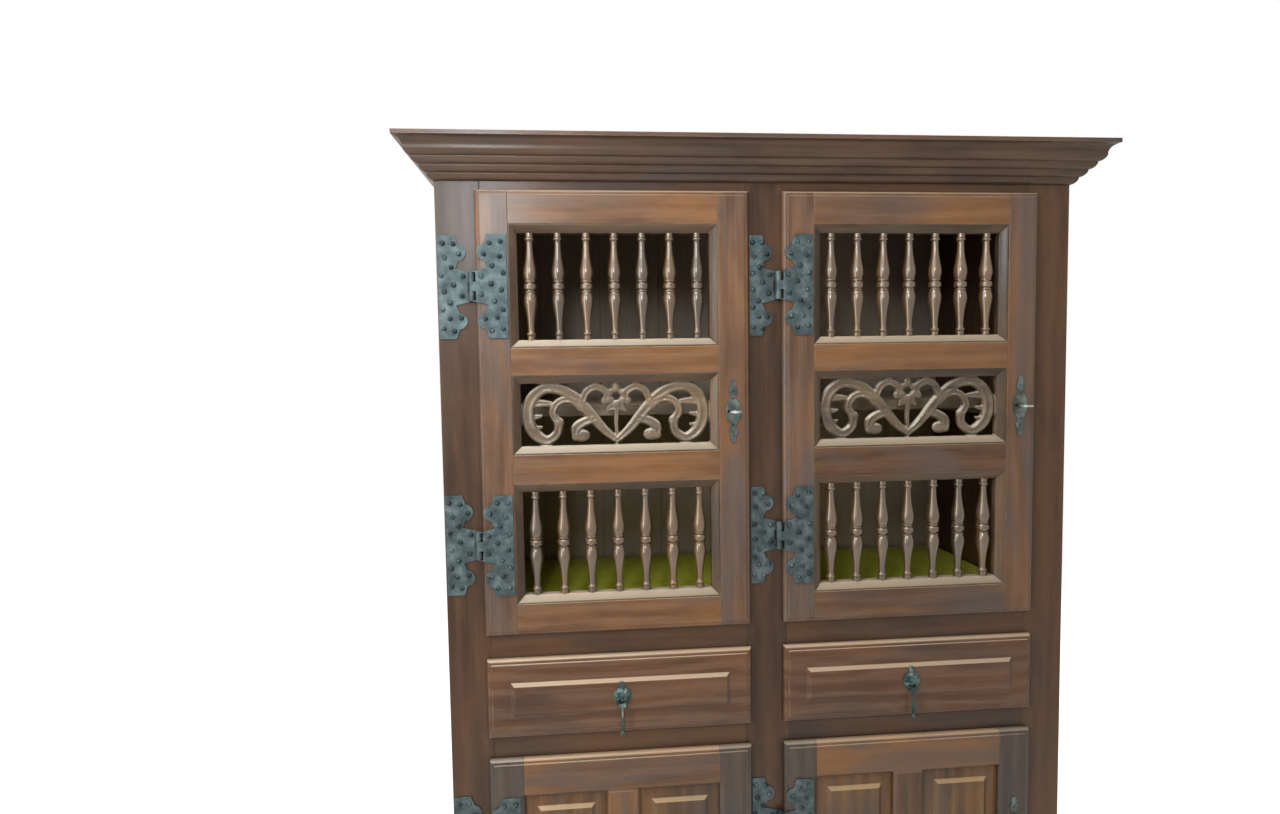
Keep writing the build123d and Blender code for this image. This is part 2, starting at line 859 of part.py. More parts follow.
def pin(axis_x, height, radius):
    """A hinge pin, or its bore when the radius is the bore's."""
    with BuildPart() as shaft:
        with BuildSketch(Plane.XY.offset(height - barrel_half_height)):
            with Locations((axis_x, hinge_axis_y)):
                Circle(radius)
        extrude(amount=2 * barrel_half_height)
    return shaft.part


def hinge_half(axis_x, height, side, width):
    """One leaf with its knuckles, bored for the pin."""
    sixth = barrel_half_height / 3
    with BuildPart() as half:
        add(leaf(axis_x, height, side, width))
        if side == 1:
            add(barrel(axis_x, height - sixth + barrel_gap, height + sixth - barrel_gap))
        else:
            add(barrel(axis_x, height - barrel_half_height, height - sixth))
            add(barrel(axis_x, height + sixth, height + barrel_half_height))
        add(pin(axis_x, height, pin_radius + pin_clearance), mode=Mode.SUBTRACT)
    return half.part


def hinge_axis(left):
    """The X of the pins that carry a door whose lip starts at left."""
    return left - axis_to_lip


def door_leaves(left, heights):
    """The two leaves that lie on a door."""
    with BuildPart() as leaves:
        for height in heights:
            add(hinge_half(hinge_axis(left), height, 1, door_leaf_width))
    return leaves.part


def frame_leaves(left, stile_edge, heights):
    """The leaves that lie on the stile beside a door, as wide as the stile shows."""
    axis_x = hinge_axis(left)
    with BuildPart() as leaves:
        for height in heights:
            add(hinge_half(axis_x, height, -1, axis_x - stile_edge - leaf_margin))
    return leaves.part


# ---- locks ----
def lock(left, height):
    """A shaped plate on the door's face and a hollow lock case behind the stile."""
    right = left + door_width
    case_x = (right - inset - case_set_in - case_width, right - inset - case_set_in)
    case_y = (door_body_back, door_body_back + case_depth)
    case_z = (height - case_height / 2, height + case_height / 2)
    wall = case_wall
    with BuildPart() as pieces:
        with BuildSketch(upright(door_front)):
            with Locations((right - lock_from_edge, height)):
                Ellipse(plate_half_width, 0.42 * plate_half_height)
                Rectangle(0.6 * plate_half_width, 1.6 * plate_half_height)
            for end in (-1, 1):
                with Locations((right - lock_from_edge, height + end * 0.64 * plate_half_height)):
                    Circle(0.6 * plate_half_width)
                with Locations((right - lock_from_edge, height + end * 0.84 * plate_half_height)):
                    Ellipse(0.36 * plate_half_width, 0.16 * plate_half_height)
        extrude(amount=plate_thick)
        add(key_bore(left, height), mode=Mode.SUBTRACT)
        add(block(case_x, case_y, case_z))
        hollow_x = (case_x[0] + wall, case_x[1] - wall)
        hollow_z = (case_z[0] + wall, case_z[1] - wall)
        add(block(hollow_x, (case_y[0], case_y[1] - wall), hollow_z), mode=Mode.SUBTRACT)
        add(bolt_block(left, height, fit_gap + mitre_gap), mode=Mode.SUBTRACT)
    return pieces.part


def bolt_block(left, height, grow=0.0, travel=0.0):
    """The plain body of a lock bolt, or the room around it when it is grown."""
    end = left + door_width - inset - case_set_in
    x = (end - bolt_length - grow, end + travel + grow)
    y = (bolt_y - grow, bolt_y + bolt_thick + grow)
    low = height + bolt_above_key
    return block(x, y, (low - grow, low + bolt_height + grow))


def lock_bolt(left, height):
    """The sliding bolt, with the notch that the key's bit turns in."""
    key_x = left + door_width - lock_from_edge
    with BuildPart() as bolt:
        add(bolt_block(left, height))
        with BuildSketch(upright(bolt_y + bolt_thick)):
            with Locations((key_x - bolt_travel / 2, height + bolt_above_key)):
                Circle(talon_radius)
        extrude(amount=bolt_thick, mode=Mode.SUBTRACT)
    return bolt.part


def key(left, height):
    """A key that stands in its lock: bow, shank and bit, with the bow lying flat."""
    x = left + door_width - lock_from_edge
    tip = door_body_back + case_depth - case_wall - bolt_clearance
    outer = door_front - plate_thick - key_reach
    with BuildPart() as piece:
        with BuildSketch(upright(tip)):
            with Locations((x, height)):
                Circle(key_radius)
        extrude(amount=tip - outer)
        with BuildSketch(Plane.XY.offset(height - bow_thick / 2)):
            with Locations((x, outer - bow_length / 2 + key_radius)):
                Ellipse(bow_half_width, bow_length / 2 + key_radius)
            with Locations((x, outer - bow_length / 2)):
                Circle(bow_eye_radius, mode=Mode.SUBTRACT)
        extrude(amount=bow_thick)
        bit_y = (tip - bit_width, tip)
        bit_z = (height - bit_thick / 2, height + bit_thick / 2)
        add(block((x - bit_reach, x), bit_y, bit_z))
    return piece.part


# ---- drawer pulls ----
def pull_plate(left):
    """A round plate with two finials and two ears that hold the drop's pin."""
    x = left + door_width / 2
    z = drawer_foot + drawer_front_height / 2
    y = door_front - field_rise
    pivot = (y - pull_pivot_out, z - pull_pivot_drop)
    ear_gap = drop_eye_width / 2 + mitre_gap
    with BuildPart() as plate:
        with BuildSketch(upright(y)):
            with Locations((x, z)):
                Circle(rosette_radius)
            with Locations((x, z - finial_reach), (x, z + finial_reach)):
                Circle(finial_radius)
        extrude(amount=rosette_thick)
        for ear_x in (x - ear_gap - ear_width, x + ear_gap):
            with BuildSketch(Plane.YZ.offset(ear_x)):
                with Locations(pivot):
                    Circle(ear_radius)
                with Locations((mid((pivot[0], y)), pivot[1])):
                    Rectangle(pull_pivot_out, 2 * ear_radius)
            extrude(amount=ear_width)
        with BuildSketch(Plane.YZ.offset(x - ear_gap - ear_width / 2)):
            with Locations(pivot):
                Circle(pull_pin_radius)
        extrude(amount=2 * ear_gap + ear_width)
    return plate.part


def pull_drop(left):
    """A drop handle: an eye on the pin and a turned stem that swells towards its ball."""
    x = left + door_width / 2
    y = door_front - field_rise - pull_pivot_out
    z = drawer_foot + drawer_front_height / 2 - pull_pivot_drop
    ball_middle = drop_ball_radius - drop_length
    ball_top = ball_middle + (drop_ball_radius**2 - drop_neck_radius**2) ** 0.5
    with BuildPart() as drop:
        with BuildSketch(Plane(origin=(x, y, z), x_dir=(1, 0, 0), z_dir=(0, -1, 0))):
            with BuildLine():
                stem = Polyline(
                    (0, -drop_eye_radius / 2),
                    (drop_neck_radius, -drop_eye_radius / 2),
                    (drop_neck_radius, -0.3 * drop_length),
                    (drop_swell_radius, -0.7 * drop_length),
                    (drop_neck_radius, ball_top),
                )
                ball = ThreePointArc(
                    stem @ 1,
                    (drop_ball_radius, ball_middle),
                    (0, -drop_length),
                )
                Line(ball @ 1, stem @ 0)
            make_face()
        revolve(axis=Axis((x, y, z), (0, 0, 1)))
        with BuildSketch(Plane.YZ.offset(x - drop_eye_width / 2)):
            with Locations((y, z)):
                Circle(drop_eye_radius)
        extrude(amount=drop_eye_width)
        with BuildSketch(Plane.YZ.offset(x - drop_eye_width / 2)):
            with Locations((y, z)):
                Circle(pull_pin_radius + pull_clearance)
        extrude(amount=drop_eye_width, mode=Mode.SUBTRACT)
    return drop.part


# ---- the carcase ----
inner_y = (frame_back, back - back_board)
side = carcase_side()
save("side_right", side)
save("side_left", mirror(side, about=Plane.YZ))
save("top_board", block((-body_right, body_right), (front, back), (top_board_foot, total_height)))
for name, head in deck_heads.items():
    save(f"{name}_board", deck(head))

waist_underside = deck_heads["waist"] - deck_board
half_board = side_board / 2
save("drawer_partition", block((-half_board, half_board), inner_y, (drawer_opening[0], waist_underside)))

with BuildPart() as back_boards:
    for number in range(back_board_count):
        add(back_board_piece(number))
save("back_boards", back_boards.part)

shelf_y = (frame_back + shelf_setback, back - back_board)
shelf_heights = (lower_shelf_height, upper_shelf_height)
with BuildPart() as shelves:
    for height in shelf_heights:
        add(block((-inside_right, inside_right), shelf_y, (height, height + shelf_thick)))
save("shelves", shelves.part)

with BuildPart() as shelf_cleats:
    for height in shelf_heights:
        for x in ((-inside_right, cleat_width - inside_right), (inside_right - cleat_width, inside_right)):
            add(block(x, shelf_y, (height - cleat_height, height)))
save("shelf_cleats", shelf_cleats.part)

felt_x = inside_right - felt_margin
felt_y = (frame_back + felt_margin, back - back_board - felt_margin)
felt_z = (deck_heads["waist"], deck_heads["waist"] + felt_thick)
save("felt_liner", block((-felt_x, felt_x), felt_y, felt_z))

with BuildPart() as face_stiles:
    for x in (
        (-body_right, outer_stile - body_right),
        (-centre_stile / 2, centre_stile / 2),
        (body_right - outer_stile, body_right),
    ):
        add(block(x, (front, frame_back), (0, top_board_foot)))
    for bay_left in bays.values():
        for z in face_rail_heights:
            add(face_tenon(bay_left, z, fit_gap), mode=Mode.SUBTRACT)
        for height in (lower_lock_height, fret_row_middle):
            add(bolt_pocket(bay_left - lip, height), mode=Mode.SUBTRACT)
save("face_stiles", face_stiles.part)

with BuildPart() as face_rails:
    for bay_left in bays.values():
        for z in face_rail_heights:
            add(block((bay_left, bay_left + opening_width), (front, frame_back), z))
            add(face_tenon(bay_left, z))
save("face_rails", face_rails.part)

save("cornice", moulding_set(cornice_profile, cornice_foot, cornice_reach))
save("plinth", moulding_set(plinth_profile, 0, plinth_reach))

drawer_head = drawer_opening[1] - drawer_head_gap
with BuildPart() as drawer_guides:
    for bay_left in bays.values():
        sides = (bay_left + edge_gap - guide_gap, bay_left + opening_width - edge_gap + guide_gap)
        walls = (-inside_right, -half_board) if bay_left < 0 else (half_board, inside_right)
        for x in ((walls[0], sides[0]), (sides[1], walls[1])):
            add(block(x, inner_y, (drawer_opening[0], drawer_opening[0] + guide_height)))
        for x in ((walls[0], sides[0] + kicker_overhang), (sides[1] - kicker_overhang, walls[1])):
            add(block(x, inner_y, (drawer_head + kicker_gap, waist_underside)))
save("drawer_guides", drawer_guides.part)

# ---- doors and drawers, bay by bay ----
upper_rows_z = row_spans(upper_door_foot, upper_rails, upper_rows)
upper_hinges = (mid(upper_rows_z[0]), mid(upper_rows_z[-1]))
lower_hinges = (
    lower_door_foot + lower_hinge_from_ends,
    lower_door_foot + lower_door_height - lower_hinge_from_ends,
)
stile_edges = {"left": -body_right, "right": lip - centre_stile / 2}

with BuildPart() as frame_hinge_leaves:
    for bay, bay_left in bays.items():
        add(frame_leaves(bay_left - lip, stile_edges[bay], upper_hinges + lower_hinges))
save("frame_hinge_leaves", frame_hinge_leaves.part)

with BuildPart() as hinge_pins:
    for bay_left in bays.values():
        for height in upper_hinges + lower_hinges:
            add(pin(hinge_axis(bay_left - lip), height, pin_radius))
save("hinge_pins", hinge_pins.part)

for bay, bay_left in bays.items():
    left = bay_left - lip
    upper = f"upper_{bay}"
    lower = f"lower_{bay}"
    drawer = f"drawer_{bay}"
    upper_frame = (left, upper_door_foot, upper_door_height, upper_stile, upper_rails, upper_rows)

    save(f"{upper}_stiles", door_stiles(*upper_frame, fret_row_middle))
    save(f"{upper}_rails", door_rails(*upper_frame))
    save(f"{upper}_moulds", upper_moulds(left))
    save(f"{upper}_spindles", upper_spindles(left))
    save(f"{upper}_fretwork", fretwork(left))
    save(f"{upper}_hinge_leaves", door_leaves(left, upper_hinges))
    save(f"{upper}_lock", lock(left, fret_row_middle))
    save(f"{upper}_lock_bolt", lock_bolt(left, fret_row_middle))
    save(f"{upper}_key", key(left, fret_row_middle))

    save(f"{lower}_stiles", lower_stiles(left))
    save(f"{lower}_rails", lower_rail_set(left))
    save(f"{lower}_panels", lower_panels(left))
    save(f"{lower}_hinge_leaves", door_leaves(left, lower_hinges))
    save(f"{lower}_lock", lock(left, lower_lock_height))
    save(f"{lower}_lock_bolt", lock_bolt(left, lower_lock_height))
    save(f"{lower}_key", key(left, lower_lock_height))

    save(f"{drawer}_front", drawer_front(left))
    save(f"{drawer}_box", drawer_box(left))
    save(f"{drawer}_pull_plate", pull_plate(left))
    save(f"{drawer}_pull_drop", pull_drop(left))
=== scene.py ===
import json
import math
import random
from collections import namedtuple

import bmesh
import bpy
from mathutils import Matrix, Vector

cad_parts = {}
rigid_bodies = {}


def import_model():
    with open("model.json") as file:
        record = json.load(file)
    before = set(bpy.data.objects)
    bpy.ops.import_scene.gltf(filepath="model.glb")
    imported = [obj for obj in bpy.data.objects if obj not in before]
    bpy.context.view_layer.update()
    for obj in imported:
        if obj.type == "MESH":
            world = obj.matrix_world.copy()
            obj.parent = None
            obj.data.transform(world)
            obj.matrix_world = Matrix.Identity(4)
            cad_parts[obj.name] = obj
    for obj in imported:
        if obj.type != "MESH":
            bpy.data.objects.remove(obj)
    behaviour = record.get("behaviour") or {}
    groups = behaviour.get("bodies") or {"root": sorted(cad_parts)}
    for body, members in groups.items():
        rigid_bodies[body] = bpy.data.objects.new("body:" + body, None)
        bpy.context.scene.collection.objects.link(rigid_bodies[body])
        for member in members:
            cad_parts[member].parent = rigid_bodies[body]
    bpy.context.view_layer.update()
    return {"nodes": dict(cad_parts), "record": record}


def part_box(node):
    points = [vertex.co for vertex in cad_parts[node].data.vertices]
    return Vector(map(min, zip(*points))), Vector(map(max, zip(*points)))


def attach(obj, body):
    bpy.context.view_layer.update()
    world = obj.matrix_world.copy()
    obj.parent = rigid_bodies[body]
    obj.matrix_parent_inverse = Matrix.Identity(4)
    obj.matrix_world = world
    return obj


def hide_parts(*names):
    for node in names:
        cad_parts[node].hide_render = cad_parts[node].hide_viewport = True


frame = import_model()
record = frame["record"]
body_of = {node: body for body, nodes in record["behaviour"]["bodies"].items() for node in nodes}
slot_of = {part["node"]: part["material_slot"] for part in record["subparts"]}

mm = 0.001
bays = ("left", "right")
tiers = ("upper", "lower")
edge_samples = 4
hollow_samples = 6

# Wood: repeats of each pattern per metre along, across and through a board, then sizes and depths.
sway_repeats = (2.2, 7.0, 7.0)
ring_repeats = (0.25, 1.0, 0.6)
streak_repeats = (6.0, 190.0, 190.0)
fibre_repeats = (30.0, 900.0, 900.0)
patch_repeats = (4.0, 12.0, 12.0)
bloom_and_haze_repeats = (3.1, 15.0, 15.0)
wood_edge = 2.2 * mm
wood_shade_reach = 14 * mm
streak_depth = 0.25 * mm
pore_depth = 0.15 * mm
# the near-black brown that painted shade darkens the wood's hollows towards
hollow_shade_colour = (24, 15, 11)

# Iron and felt.
iron_edge = 0.8 * mm
iron_shade_reach = 5 * mm
dent_depth = 0.5 * mm
speck_depth = 0.1 * mm
iron_rim = (150, 165, 162)
# the near-black that painted shade darkens the iron's hollows towards
iron_hollow_shade = (18, 22, 22)
nap_depth = 0.5 * mm


# ---- shader arithmetic ----
def feed(tree, socket, value):
    """Joins a value or another socket to a socket."""
    if isinstance(value, Sock):
        tree.links.new(value.socket, socket)
    else:
        socket.default_value = value


class Sock:
    """A shader value that takes part in plain arithmetic."""

    def __init__(self, tree, socket):
        self.tree, self.socket = tree, socket

    def maths(self, operation, *values):
        node = self.tree.nodes.new("ShaderNodeMath")
        node.operation = operation
        for socket, value in zip(node.inputs, values):
            feed(self.tree, socket, value)
        return Sock(self.tree, node.outputs[0])

    def __add__(self, other):
        return self.maths("ADD", self, other)

    def __sub__(self, other):
        return self.maths("SUBTRACT", self, other)

    def __rsub__(self, other):
        return self.maths("SUBTRACT", other, self)

    def __mul__(self, other):
        return self.maths("MULTIPLY", self, other)

    def held(self):
        """The same value kept from 0 to 1."""
        return self.maths("MINIMUM", self.maths("MAXIMUM", self, 0.0), 1.0)

    __radd__ = __add__
    __rmul__ = __mul__


def seen_share(tree):
    """1 for what the camera, gloss and glass see, and 0 for what lights the object."""
    path = tree.nodes.new("ShaderNodeLightPath")
    camera_ray, glossy_ray, glass_ray = (
        Sock(tree, path.outputs[name])
        for name in ("Is Camera Ray", "Is Glossy Ray", "Is Transmission Ray")
    )
    return (camera_ray + glossy_ray + glass_ray).held()


def stain(red, green, blue):
    """A colour given as it looks on a screen, from 0 to 255, as the shader wants it."""
    parts = [c / 255 for c in (red, green, blue)]
    return (*[c / 12.92 if c <= 0.04045 else ((c + 0.055) / 1.055) ** 2.4 for c in parts], 1.0)


class Finish:
    """A surface finish: a shader, and the nodes that vary it over a piece."""

    def __init__(self, name, **constants):
        self.material = bpy.data.materials.new(name)
        self.material.use_nodes = True
        self.tree = self.material.node_tree
        self.shader = self.tree.nodes["Principled BSDF"]
        for socket, value in constants.items():
            self.shader.inputs[socket.replace("_", " ")].default_value = value

    def node(self, kind, inputs, output=0, stops=(), **settings):
        """Adds a node: its settings first, then the values or links of its sockets."""
        node = self.tree.nodes.new("ShaderNode" + kind)
        for setting, value in settings.items():
            setattr(node, setting, value)
        while stops and len(stops) > len(node.color_ramp.elements):
            node.color_ramp.elements.new(1.0)
        for number, (place, colour) in enumerate(stops):
            node.color_ramp.elements[number].position = place
            node.color_ramp.elements[number].color = colour
        for socket, value in inputs.items():
            feed(self.tree, node.inputs[socket], value)
        return Sock(self.tree, node.outputs[output])

    def squeezed(self, place, repeats):
        """A place at which a pattern repeats this often per metre on each axis."""
        return self.node("VectorMath", {0: place, 1: repeats}, operation="MULTIPLY")

    def cloud(self, place, scale=1.0, detail=3.0, roughness=0.5, distortion=0.0):
        """Soft random patches, from 0 to 1."""
        sizes = {"Scale": scale, "Detail": detail, "Roughness": roughness, "Distortion": distortion}
        return self.node("TexNoise", {"Vector": place, **sizes})

    def mix(self, share, first, second):
        """Two colours mixed by a share."""
        inputs = {0: share, 6: first, 7: second}
        return self.node("Mix", inputs, output=2, data_type="RGBA")

    def ramp(self, value, *stops):
        """A value turned into colours."""
        return self.node("ValToRGB", {0: value}, stops=stops)

    def step(self, value, low, high):
        """A value spread from 0 at low to 1 at high, and kept there."""
        inputs = {"Value": value, "From Min": low, "From Max": high}
        return self.node("MapRange", inputs, clamp=True)

    def edges(self, radius, gain):
        """1 on the corners of a piece and 0 on its flats."""
        soft = self.node("Bevel", {"Radius": radius}, samples=edge_samples)
        true = self.node("NewGeometry", {}, output=1)
        alike = self.node("VectorMath", {0: soft, 1: true}, output=1, operation="DOT_PRODUCT")
        return ((1.0 - alike) * gain).held()

    def hollows(self, reach):
        """1 deep in the corners where pieces meet and 0 in the open."""
        openness = self.node(
            "AmbientOcclusion", {"Distance": reach}, output=1, samples=hollow_samples)
        return 1.0 - openness

    def relief(self, height, depth, strength=1.0, under=None):
        """A bump of this depth, over another one if it is given."""
        inputs = {"Strength": strength, "Distance": depth, "Height": height}
        if under:
            inputs["Normal"] = under
        return self.node("Bump", inputs)

    def wear(self, **sockets):
        """Feeds the shader's sockets."""
        for socket, value in sockets.items():
            feed(self.tree, self.shader.inputs[socket.replace("_", " ")], value)
        return self.material


def wood(
    name, dark, middle, light, warm, shine=0.36, wear_and_edge_glint=0.7, hollow_shade=0.8, gloss=0.24, coat=0.16,
    varnish=0.2, sheen=(1.0, 0.9, 0.76, 1.0), inside=None, rubbed_and_top_lit=0.7, bloom_and_haze=0.5,
):
    """Stained and waxed wood, with its grain along the board it is on.

    inside gives a depth, in metres, and the colour of what lies before it. rubbed_and_top_lit is how
    much paler its upward slopes are, a painted highlight of light from above, and bloom_and_haze how
    grey its dull patches are, wax bloom mixed with a painted reflection of haze.
    """
    f = Finish(
        name, Specular_IOR_Level=gloss, Specular_Tint=sheen, Coat_Weight=coat, Coat_Roughness=varnish)
    grey = sum(middle[:3]) / 3
    hazy_grey = (*[0.3 * c + 0.7 * grey for c in middle[:3]], 1.0)
    pale = (*[0.75 * first + 0.25 * second for first, second in zip(middle[:3], light)], 1.0)
    board = f.node("Attribute", {}, output=1, attribute_name="grain")
    tone = f.node("Attribute", {}, output=2, attribute_name="tone")
    sway = f.cloud(f.squeezed(board, sway_repeats), detail=2.0)
    rings = f.node(
        "TexWave",
        {"Vector": f.squeezed(board, ring_repeats), "Scale": 11.0, "Distortion": 5.0 * sway + 3.0,
         "Detail": 3.0, "Detail Scale": 1.6},
        output=1, wave_type="RINGS", rings_direction="X", wave_profile="SIN",
    )
    streaks = f.cloud(f.squeezed(board, streak_repeats), detail=5.0, roughness=0.62, distortion=0.4)
    fibres = f.cloud(f.squeezed(board, fibre_repeats), roughness=0.7)
    patches = f.cloud(f.squeezed(board, patch_repeats), detail=4.0, roughness=0.6)
    bloom_and_haze_patches = f.cloud(f.squeezed(board, bloom_and_haze_repeats), detail=2.0, distortion=0.7)
    figure = 0.12 * rings + 0.30 * streaks + 0.50 * patches + 0.16 * tone - 0.03
    colour = f.ramp(figure, (0.24, dark), (0.50, middle), (0.72, pale))
    glow = f.step(patches + 0.2 * tone, 0.50, 0.80)
    colour = f.mix(0.7 * glow, colour, warm)
    # grey patches: partly wax bloom, partly a painted reflection of haze on the wax
    colour = f.mix(bloom_and_haze * f.step(bloom_and_haze_patches, 0.5, 0.66), colour, hazy_grey)
    pores = f.step(fibres, 0.60, 0.70)
    colour = f.mix(0.55 * pores, colour, dark)
    corners = f.edges(wood_edge, 3.0) * f.step(f.cloud(board, 60.0), 0.35, 0.6)
    # pale corners: partly real wear, partly a painted highlight where edges catch the light
    colour = f.mix(wear_and_edge_glint * corners, colour, light)
    if not inside:
        # painted highlight: upward-facing slopes turn paler, as if lit from above
        upward = f.node("SeparateXYZ", {0: f.node("NewGeometry", {}, output=1)}, output=2)
        colour = f.mix(rubbed_and_top_lit * f.step(upward, 0.3, 0.6), colour, light)
    hollow_shade_mask = (f.hollows(wood_shade_reach) * (0.6 + 0.8 * patches)).held()
    if inside:
        edge, lining = inside
        depth = f.node("SeparateXYZ", {0: f.node("TexCoord", {}, output=3)}, output=1)
        lining = f.mix(0.4 * streaks, lining, dark)
        colour = f.mix(f.step(depth, edge, edge + mm), lining, colour)
    # painted shade: where the occlusion mask finds hollows, the colour darkens towards near-black brown
    colour = f.mix(hollow_shade * hollow_shade_mask, colour, stain(*hollow_shade_colour))
    rough = shine + 0.22 * streaks + 0.25 * pores + 0.2 * hollow_shade_mask - 0.1
    grain = f.relief(streaks, streak_depth, 0.35)
    normal = f.relief(1.0 - pores, pore_depth, 0.5, grain)
    return f.wear(Base_Color=colour, Roughness=rough, Normal=normal)


def iron(name, dark, middle, light, metal=0.75, beaten=1.0):
    """Hand-beaten, blued iron, its rims paler from use."""
    f = Finish(name, Metallic=metal)
    place = f.node("TexCoord", {}, output=3)
    blows = f.node(
        "TexVoronoi", {"Vector": place, "Scale": 165.0, "Smoothness": 0.7, "Randomness": 0.9},
        feature="SMOOTH_F1",
    )
    patches = f.cloud(place, 55.0, 4.0, 0.6)
    specks = f.cloud(place, 700.0, 3.0, 0.6)
    colour = f.ramp(0.75 * patches + 0.25 * specks, (0.34, dark), (0.5, middle), (0.68, light))
    rims = f.edges(iron_edge, 4.0)
    colour = f.mix(0.65 * rims, colour, stain(*iron_rim))
    hollow_shade_mask = f.hollows(iron_shade_reach)
    # painted shade: occluded hollows, such as the rings round nail heads, darken towards near-black
    colour = f.mix(0.8 * hollow_shade_mask, colour, stain(*iron_hollow_shade))
    rough = 0.42 + 0.3 * patches - 0.12 * rims
    dents = f.relief(blows, dent_depth, 0.5 * beaten)
    normal = f.relief(specks, speck_depth, 0.4, dents)
    return f.wear(Base_Color=colour, Roughness=rough, Normal=normal)


def felt(name, dark, light):
    """Woollen felt: a matted fibre surface without a weave."""
    f = Finish(name, Sheen_Weight=0.08, Sheen_Roughness=0.5, Roughness=0.95, Specular_IOR_Level=0.05)
    place = f.node("TexCoord", {}, output=3)
    wisps = f.cloud(place, 900.0, 5.0, 0.7, 1.5)
    tufts = f.cloud(place, 90.0, 4.0, 0.6, 0.6)
    rubbed_and_top_lit = f.cloud(place, 7.0, 3.0)
    colour = f.ramp(0.4 * wisps + 0.3 * tufts + 0.3 * rubbed_and_top_lit, (0.36, dark), (0.62, light))
    return f.wear(Base_Color=colour, Normal=f.relief(wisps + tufts, nap_depth, 0.7))


# stiles and rails grey the most, their grey patches partly a painted reflection of haze
stile_wood = wood(
    "stained stile walnut", stain(62, 44, 34), stain(108, 80, 61), stain(187, 158, 132),
    stain(134, 89, 53), bloom_and_haze=0.7)
# a darker copy of the stile walnut for the lower doors: painted shade, as the light falls off downwards
shaded_low_stile_wood = wood(
    "lower stile walnut in painted shade", stain(45, 38, 34), stain(74, 65, 57), stain(163, 146, 127),
    stain(90, 65, 47), bloom_and_haze=0.7)
rail_wood = wood(
    "stained rail walnut", stain(62, 40, 29), stain(108, 76, 53), stain(196, 166, 134),
    stain(140, 92, 48), bloom_and_haze=0.65)
face_wood = wood(
    "stained face walnut", stain(42, 27, 19), stain(74, 51, 37), stain(146, 112, 82), stain(98, 63, 34),
    bloom_and_haze=0.35)
front_wood = wood(
    "drawer front walnut", stain(54, 34, 25), stain(86, 59, 43), stain(206, 180, 150),
    stain(110, 68, 38), bloom_and_haze=0.4)
# its pale colour and upward-slope share paint the bright highlight on the openings' sills
mould_wood = wood(
    "moulded walnut", stain(42, 30, 21), stain(74, 57, 43), stain(200, 182, 155), stain(100, 71, 44),
    wear_and_edge_glint=0.6, shine=0.44, rubbed_and_top_lit=0.62)
# its upward-slope share paints the bright highlight on the fields' top bevels
panel_wood = wood(
    "panel walnut", stain(53, 36, 23), stain(101, 73, 48), stain(212, 179, 133), stain(139, 91, 46),
    wear_and_edge_glint=0.6, rubbed_and_top_lit=0.6)
cornice_wood = wood(
    "cornice walnut", stain(50, 36, 29), stain(86, 66, 53), stain(166, 142, 124), stain(101, 72, 52),
    wear_and_edge_glint=0.6, rubbed_and_top_lit=0.25)
turned_wood = wood(
    "turned walnut", stain(36, 24, 15), stain(66, 45, 27), stain(156, 122, 82), stain(102, 68, 32),
    shine=0.36, hollow_shade=0.8, gloss=0.9, coat=1.0, varnish=0.12, sheen=(1.0, 0.84, 0.62, 1.0), rubbed_and_top_lit=0.2)
# its pale edges and pale upward slopes paint the carving's highlights, its dark hollows paint its shade
carved_wood = wood(
    "carved walnut", stain(49, 38, 29), stain(100, 84, 67), stain(225, 212, 189), stain(127, 98, 63),
    shine=0.32, wear_and_edge_glint=1.0, hollow_shade=1.0, coat=0.4, rubbed_and_top_lit=0.6)
# a light tone of its own, lifted further as painted light for the dim inside of the cabinet
inner_wood = wood(
    "plain inner boards", stain(120, 102, 82), stain(165, 145, 120), stain(190, 168, 142),
    stain(178, 150, 115), shine=0.6, wear_and_edge_glint=0.2, gloss=0.15, coat=0.0, bloom_and_haze=0.2)
back_wood = wood(
    "raw pine boards", stain(130, 92, 60), stain(188, 140, 95), stain(221, 178, 130),
    stain(200, 145, 92), shine=0.66, wear_and_edge_glint=0.2, gloss=0.2, coat=0.0, bloom_and_haze=0.1,
    # the inner face's stain, lifted paler as painted light for the dim inside
    inside=(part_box("back_boards")[0][1], stain(188, 171, 149)))
hinge_iron = iron("blued hinge iron", stain(46, 55, 55), stain(72, 83, 83), stain(106, 118, 116))
nail_iron = iron("nail iron", stain(24, 31, 32), stain(46, 57, 58), stain(106, 121, 121), beaten=0.3)
lock_iron = iron("lock iron", stain(48, 55, 50), stain(84, 92, 88), stain(126, 134, 128))
pull_iron = iron("pull iron", stain(29, 42, 40), stain(55, 75, 72), stain(130, 145, 139), beaten=0.4)
key_steel = iron(
    "key steel", stain(120, 120, 110), stain(190, 190, 178), stain(232, 232, 222),
    metal=0.9, beaten=0.2)
bolt_steel = iron(
    "bolt steel", stain(90, 92, 90), stain(140, 142, 138), stain(190, 192, 188),
    metal=0.9, beaten=0.2)
# its own lime green, lifted brighter as painted light for the felt lying in shade inside
green_felt = felt("green felt", stain(166, 166, 18), stain(220, 218, 44))


# ---- making pieces ----
corner_angle = 38  # degrees between two faces, above which their edge is eased
slope_angle = 20  # the same for fielded pieces, whose slopes are shallow
least_slope = 2
wide_face = 6 * mm


def islands(mesh):
    """The separate lumps of a mesh, each a list of its vertices' numbers."""
    leader = list(range(len(mesh.vertices)))

    def lead(number):
        while leader[number] != number:
            leader[number] = leader[leader[number]]
            number = leader[number]
        return number

    for edge in mesh.edges:
        leader[lead(edge.vertices[0])] = lead(edge.vertices[1])
    lumps = {}
    for number in range(len(leader)):
        lumps.setdefault(lead(number), []).append(number)
    return sorted(lumps.values())


def limits(mesh, lump):
    """The lowest and highest corner of one lump."""
    places = [mesh.vertices[number].co for number in lump]
    return [Vector([pick(axis) for axis in zip(*places)]) for pick in (min, max)]


